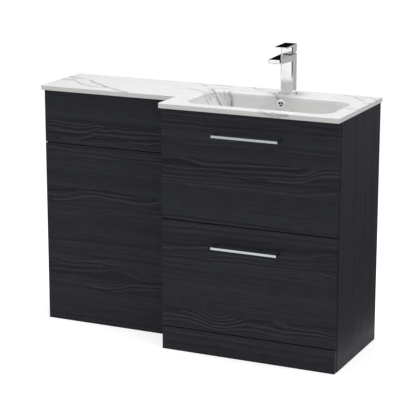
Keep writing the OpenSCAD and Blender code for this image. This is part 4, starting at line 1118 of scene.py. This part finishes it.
def makeTapRing():
    low = basin["top"]
    high = low + tap["ringHeight"]
    ring = addUpright("tapBaseRing", basin["tap"], tap["ringRadius"], low, high, corners=128)
    bevelWhere(ring, lambda edge: liesAt(edge, high), tap["ringEdge"], steps=4)
    carve(ring, addUpright("ringHole", basin["tap"], tap["ringHole"], low - clear, high + clear))
    return finishPiece(ring, finish["chromePolish"], "cabinet", ["tap_base_ring"])


def makeTapBody():
    x, y = basin["tap"]
    low, high = boxOf("tap_body")
    front, root = y - tap["halfDepth"], high.z - tap["rootHeight"]
    body = addBlock("tapBody", (low.x, front, low.z), high)
    splitFaces(body, (0, 0, root), (0, 0, 1))
    pullFaces(body, lambda face: face.normal.y < -0.9 and face.calc_center_median().z > root * mm,
              (0, low.y - front, 0))
    # the spout grows thinner to its tip, and its top falls a little
    tip, half = low.y * mm, (high.z - tap["tipHeight"] / 2) * mm
    for isTop, rise in ((False, tap["rootHeight"] - tap["tipHeight"]), (True, -tap["spoutFall"])):
        moveCorners(body, lambda corner: corner.co.y < tip + tiny and (corner.co.z > half) == isTop,
                    (0, 0, rise))
    mergeFlat(body)

    def isUnderTip(edge):
        atTip = all(corner.co.y < tip + tiny and corner.co.z < half for corner in edge.verts)
        return atTip and abs(edgeSpan(edge).x) > tiny

    bevelWhere(body, isUnderTip, tap["tipRound"], steps=6)
    bevelWhere(body, runsUp, tap["cornerRound"], steps=5)
    softenEdges(body, tap["edgeRound"], steps=3, angle=40)
    boreFloor = basin["top"] + tap["boreFloor"]
    carve(body, addUpright("bore", (x, y), tap["boreRadius"], boreFloor, high.z + clear))
    outletTop = high.z - tap["outletTop"]
    carve(body, addUpright("outlet", (x, y - tap["outletReach"]), tap["outletRadius"],
                           outletTop - tap["outletDepth"], outletTop))
    return finishPiece(body, finish["chromePolish"], "cabinet", ["tap_body"], angle=25)


def makeTapLever():
    x, y = basin["tap"]
    low, high = boxOf("tap_lever")
    front, plate = y - tap["halfDepth"], high.z - tap["plateHeight"]
    lever = addBlock("tapLever", (low.x, front, low.z), high)
    splitFaces(lever, (0, 0, plate), (0, 0, 1))
    splitFaces(lever, (0, y, 0), (0, 1, 0))
    pullFaces(lever, lambda face: face.normal.y < -0.9 and face.calc_center_median().z > plate * mm,
              (0, low.y - front, 0))
    # the back of the underside slopes up, so that the lever clears the body when it lifts
    moveCorners(lever, lambda corner: corner.co.y > high.y * mm - tiny and corner.co.z < low.z * mm + tiny,
                (0, 0, tap["leverRise"]))
    mergeFlat(lever)
    moveCorners(lever, lambda corner: corner.co.y < low.y * mm + tiny and corner.co.z > high.z * mm - tiny,
                (0, 0, -tap["leverFall"]))

    def isBlockFront(edge):
        lowest = min(corner.co.z for corner in edge.verts)
        return runsUp(edge) and edge.verts[0].co.y < front * mm + tiny and lowest < plate * mm - tiny

    bevelWhere(lever, isBlockFront, tap["cornerRound"], steps=5)
    softenEdges(lever, tap["edgeRound"], steps=3, angle=15)
    top = basin["top"]
    carve(lever, addUpright("cavity", (x, y), tap["cavityRadius"], low.z - clear, top + tap["cavityTop"]))
    start, end = y + tap["screwStart"], high.y + clear
    carve(lever, addRound("screwHole", (x, (start + end) / 2, top + tap["screwRise"]), tap["screwRadius"],
                          end - start, (math.pi / 2, 0, 0), 48))
    return finishPiece(lever, finish["chromePolish"], "lever", ["tap_lever"], angle=25)


print("scene: tap")
makeTapRing()
makeTapBody()
makeTapLever()


# overflow ring

overflow = {
    "radius": 15.5, "opening": 7.5, "thick": 2.5, "edge": 2.1,
    "sleeve": 9, "sleeveInner": -8, "sleeveOuter": 1,
    "spoke": 2.6, "spokeReach": 8.1, "spokeFront": -0.2, "spokeBack": 1.4,
    "throatInner": -7, "throatOuter": -1, "throatGap": 0.1, "throatWall": 0.8, "throatFloor": 1,
}


def makeOverflowRing():
    ring = addOnOverflow("overflowRing", overflow["radius"], 0, overflow["thick"], corners=96)
    join(ring, addOnOverflow("sleeve", overflow["sleeve"], overflow["sleeveInner"], overflow["sleeveOuter"]))
    carve(ring, addOnOverflow("opening", overflow["opening"], -2 * clear, 2 * clear))
    outward = overflowAxis()[1]
    centre = Vector(basin["overflow"])
    face = (centre + outward * overflow["thick"]) * mm

    def onRim(edge):
        # the short edges of the two circles on the ring's face
        onFace = all(abs((corner.co - face).dot(outward)) < hair * mm for corner in edge.verts)
        spans = [(corner.co - face).length for corner in edge.verts]
        return onFace and abs(spans[0] - spans[1]) < tiny and edgeSpan(edge).length < overflow["edge"] * mm

    bevelWhere(ring, onRim, overflow["edge"], steps=6)
    half = overflow["spoke"] / 2
    for turn in (0, 120, 240):
        spoke = addBlock("spoke", centre + Vector((-half, overflow["spokeFront"], 0)),
                         centre + Vector((half, overflow["spokeBack"], overflow["spokeReach"])))
        editWhere(spoke, "FACE", everyPart)
        bpy.ops.transform.rotate(value=math.radians(turn), orient_axis="Y", center_override=centre * mm)
        editDone()
        join(ring, spoke)
    return finishPiece(ring, finish["chromePolish"], "cabinet", ["overflow_ring"], angle=28)


def makeOverflowShadeCup():
    # painted shade: a short black cup behind the ring stands in for the shade deep in the overflow's channel
    inner, outer = overflow["throatInner"], overflow["throatOuter"]
    shadeCup = addOnOverflow("overflowShadeCup", overflow["opening"] - overflow["throatGap"], inner, outer)
    outward = overflowAxis()[1]
    editWhere(shadeCup, "FACE", lambda face: face.normal.dot(outward) > 0.9)
    bpy.ops.mesh.inset(thickness=overflow["throatWall"] * mm)
    bpy.ops.transform.translate(value=outward * (inner + overflow["throatFloor"] - outer) * mm)
    editDone()
    return finishPiece(shadeCup, finish["blackRubberAndShade"], "cabinet", [])


print("scene: overflow ring")
makeOverflowRing()
makeOverflowShadeCup()


# handles

handle = {"bar": 8, "edge": 0.9}


def makeHandle(which):
    # a square bar in front, and a foot at each end that reaches back to the drawer front
    low, high = boxOf(which + "_handle")
    bar = handle["bar"]
    feet = (low.x + bar, high.x - bar)
    piece = addBlock(which + "Handle", low, (high.x, low.y + bar, high.z))
    for place in feet:
        splitFaces(piece, (place, 0, 0), (1, 0, 0))

    def isFoot(face):
        return face.normal.y > 0.9 and not feet[0] < face.calc_center_median().x / mm < feet[1]

    pullFaces(piece, isFoot, (0, high.y - low.y - bar, 0))
    mergeFlat(piece)
    softenEdges(piece, handle["edge"], steps=3, angle=40)
    return finishPiece(piece, finish["handleChrome"], which + "_drawer", [which + "_handle"],
                       angle=25)


print("scene: handles")
for which in ("upper", "lower"):
    makeHandle(which)


# softened copies of small CAD pieces

# node: piece, edge width, finish and slot
softCopies = {
    "waste_body": ("wasteBody", 0.5, "chromePolish", "chrome"),
    "waste_plug": ("wastePlug", 0.3, "chromePolish", "chrome"),
    "waste_nut": ("wasteNut", 0.6, "brassMachined", "brass"),
    "tap_nut": ("tapNut", 0.5, "brassMachined", "brass"),
    "tap_clamp_plate": ("tapClampPlate", 0.4, "zincSteel", "steel"),
    "wc_front_brackets": ("wcFrontBrackets", 0.4, "zincSteel", "steel"),
    "plinth_brackets": ("plinthBrackets", 0.4, "zincSteel", "steel"),
}
bodyOf = {node: body for body, nodes in frame["record"]["behaviour"]["bodies"].items() for node in nodes}


def softCopy(node, pieceName, width):
    source = frame["nodes"][node]
    piece = source.copy()
    piece.data = source.data.copy()
    piece.name = pieceName
    piece.parent = None
    bpy.context.collection.objects.link(piece)
    editWhere(piece, "FACE", everyPart)
    bpy.ops.mesh.remove_doubles(threshold=tiny)
    bpy.ops.mesh.dissolve_limited(angle_limit=math.radians(0.5))
    editDone()
    softenEdges(piece, width, steps=2, angle=50)
    return piece


print("scene: softened copies")
for node, (pieceName, width, metal, slotName) in softCopies.items():
    finishPiece(softCopy(node, pieceName, width), finish[metal], bodyOf[node], [node])


# CAD nodes that stay as they are

finish["railGrain"] = charcoalGrain("railGrain", False, 63.5)
drawers = ("upper_drawer", "lower_drawer")
keptNodes = {
    "blackRubberAndShade": ["waste_seal"],
    "whiteMoulding": ["tap_cartridge", "panel_clip_sockets", "panel_clip_studs", "corner_blocks"],
    "zincSteel": ["tap_aerator", "tap_core", "tap_stem", "lever_screw", "tap_stud", "cam_discs",
                  "connecting_screws", "upper_handle_screws", "lower_handle_screws"],
    "runnerSteel": ["upper_runner_rails", "upper_runner_middles", "upper_drawer_runners",
                    "lower_runner_rails", "lower_runner_middles", "lower_drawer_runners"],
    "paleBoard": ["wc_front_rail", "wc_top_rail", "wc_back_rail", "wc_bottom_rail", "vanity_base",
                  "vanity_back_rail", "vanity_bottom_rail", "upper_drawer_well"]
    + [drawer + board for drawer in drawers for board in ("_side_left", "_side_right", "_back", "_base")],
    "railGrain": ["vanity_mid_rail"],
}

print("scene: kept nodes")
for name, nodes in keptNodes.items():
    for node in nodes:
        mesh = frame["nodes"][node].data
        mesh.materials.clear()
        mesh.materials.append(finish[name])


# floor, light and camera

studio = {
    "floorSize": 40, "floorShade": 0.80, "floorGlow": 0.62,
    "ambient": 0.52, "seen": 1.0,       # brightness of the world as light, and as it is seen
    "cameraPlace": (2.1839, -4.6706, 1.7437), "cameraTarget": (0.0034, 0.0055, 0.46495),
    "lens": 145.485, "sensor": 36, "farthest": 60,
}
softLights = {
    # name: place, aim, width, height and watts
    "overheadSoft": ((0.2, -0.1, 3.4), (0.2, -0.05, 0.6), 1.8, 1.5, 47),
}
studioCards = {
    # seen in metal and gloss only: place, aim, width, height and brightness
    "backCard": ((-1.25, 3.1, 1.75), (0.26, 0.14, 0.9), 5.2, 1.6, 0.004),
    "backHighCard": ((-1.6, 3.4, 3.85), (0.26, 0.14, 0.9), 6.0, 1.9, 0.2),
    "frontHighCard": ((-0.9, -2.9, 2.45), (0.26, 0.12, 0.95), 4.0, 2.6, 0.42),
    "frontRightCard": ((1.05, -1.87, 0.62), (0.28, 0.14, 0.62), 2.4, 0.62, 0.01),
    "rightCard": ((2.48, 0.14, 0.62), (0.28, 0.14, 0.62), 3.4, 0.62, 0.01),
    "leftCard": ((-2.3, 0.14, 0.62), (0.28, 0.14, 0.62), 5.4, 0.62, 0.04),
    "frontLowCard": ((-1.06, -3.44, 0.10), (0.25, -0.2, 0.10), 2.6, 0.20, 0.50),
    "rearRightCard": ((1.9, 2.6, 0.95), (0.4, 0.1, 0.95), 2.6, 1.76, 0.46),
    "lowRightCard": ((2.2, 1.6, 0.03), (2.2, 1.6, 2.0), 3.2, 4.0, 0.03),
}


def aimAt(piece, target):
    away = Vector(target) - piece.location
    piece.rotation_euler = away.to_track_quat("-Z", "Y").to_euler()


def addSheet(name, material, place, size=1):
    # a flat stage piece
    pickOnly()
    bpy.ops.mesh.primitive_plane_add(size=size, location=place)
    piece = bpy.context.object
    piece.name = name
    piece.data.materials.append(material)
    return piece


def whereSeen(sheet):
    # 1 for rays that show the surroundings: to the camera, in metal and through glass
    ray = sheet.add("ShaderNodeLightPath").outputs
    mirrored = sheet.maths("MAXIMUM", ray["Is Glossy Ray"], ray["Is Transmission Ray"])
    return sheet.maths("MAXIMUM", ray["Is Camera Ray"], mirrored)


def addFloor():
    # it shows white to the camera and in metal, and keeps the object's shadow
    material, sheet = emptyMaterial("studioFloor")
    shade = studio["floorShade"]
    matt = sheet.add("ShaderNodeBsdfDiffuse", {"Color": (shade, shade, shade, 1)})
    glow = sheet.add("ShaderNodeEmission", {"Strength": sheet.times(whereSeen(sheet), studio["floorGlow"])})
    both = sheet.add("ShaderNodeAddShader", {0: matt.outputs[0], 1: glow.outputs[0]})
    sheet.add("ShaderNodeOutputMaterial", {"Surface": both.outputs[0]})
    addSheet("studioFloor", material, (0, 0, 0), studio["floorSize"])


def addWorld():
    world = bpy.data.worlds.new("studioWorld")
    bpy.context.scene.world = world
    world.use_nodes = True
    world.node_tree.nodes.clear()
    sheet = NodeSheet(world.node_tree)
    strength = sheet.addShare(whereSeen(sheet), studio["seen"] - studio["ambient"], studio["ambient"])
    sky = sheet.add("ShaderNodeBackground", {"Color": (1, 1, 1, 1), "Strength": strength})
    sheet.add("ShaderNodeOutputWorld", {"Surface": sky.outputs[0]})


def addLights():
    for name, (place, target, width, height, power) in softLights.items():
        data = bpy.data.lights.new(name, "AREA")
        data.shape = "RECTANGLE"
        data.size, data.size_y, data.energy = width, height, power
        lamp = bpy.data.objects.new(name, data)
        lamp.location = place
        lamp.visible_glossy = False
        aimAt(lamp, target)
        bpy.context.collection.objects.link(lamp)


def addCards():
    for name, (place, target, width, height, shade) in studioCards.items():
        material, sheet = emptyMaterial(name)
        glow = sheet.add("ShaderNodeEmission", {"Color": (shade, shade, shade, 1), "Strength": 1.0})
        sheet.add("ShaderNodeOutputMaterial", {"Surface": glow.outputs[0]})
        card = addSheet(name, material, place)
        card.scale = (width, height, 1)
        aimAt(card, target)
        card.visible_camera = card.visible_diffuse = card.visible_shadow = False
        card.visible_transmission = card.visible_volume_scatter = False


def addCamera():
    data = bpy.data.cameras.new("photoView")
    data.lens, data.sensor_width, data.clip_end = studio["lens"], studio["sensor"], studio["farthest"]
    camera = bpy.data.objects.new("photoView", data)
    camera.location = studio["cameraPlace"]
    aimAt(camera, studio["cameraTarget"])
    bpy.context.collection.objects.link(camera)
    bpy.context.scene.camera = camera


print("scene: stage, light and camera")
addFloor()
addWorld()
addLights()
addCards()
addCamera()
bpy.context.scene.view_settings.view_transform = "Standard"
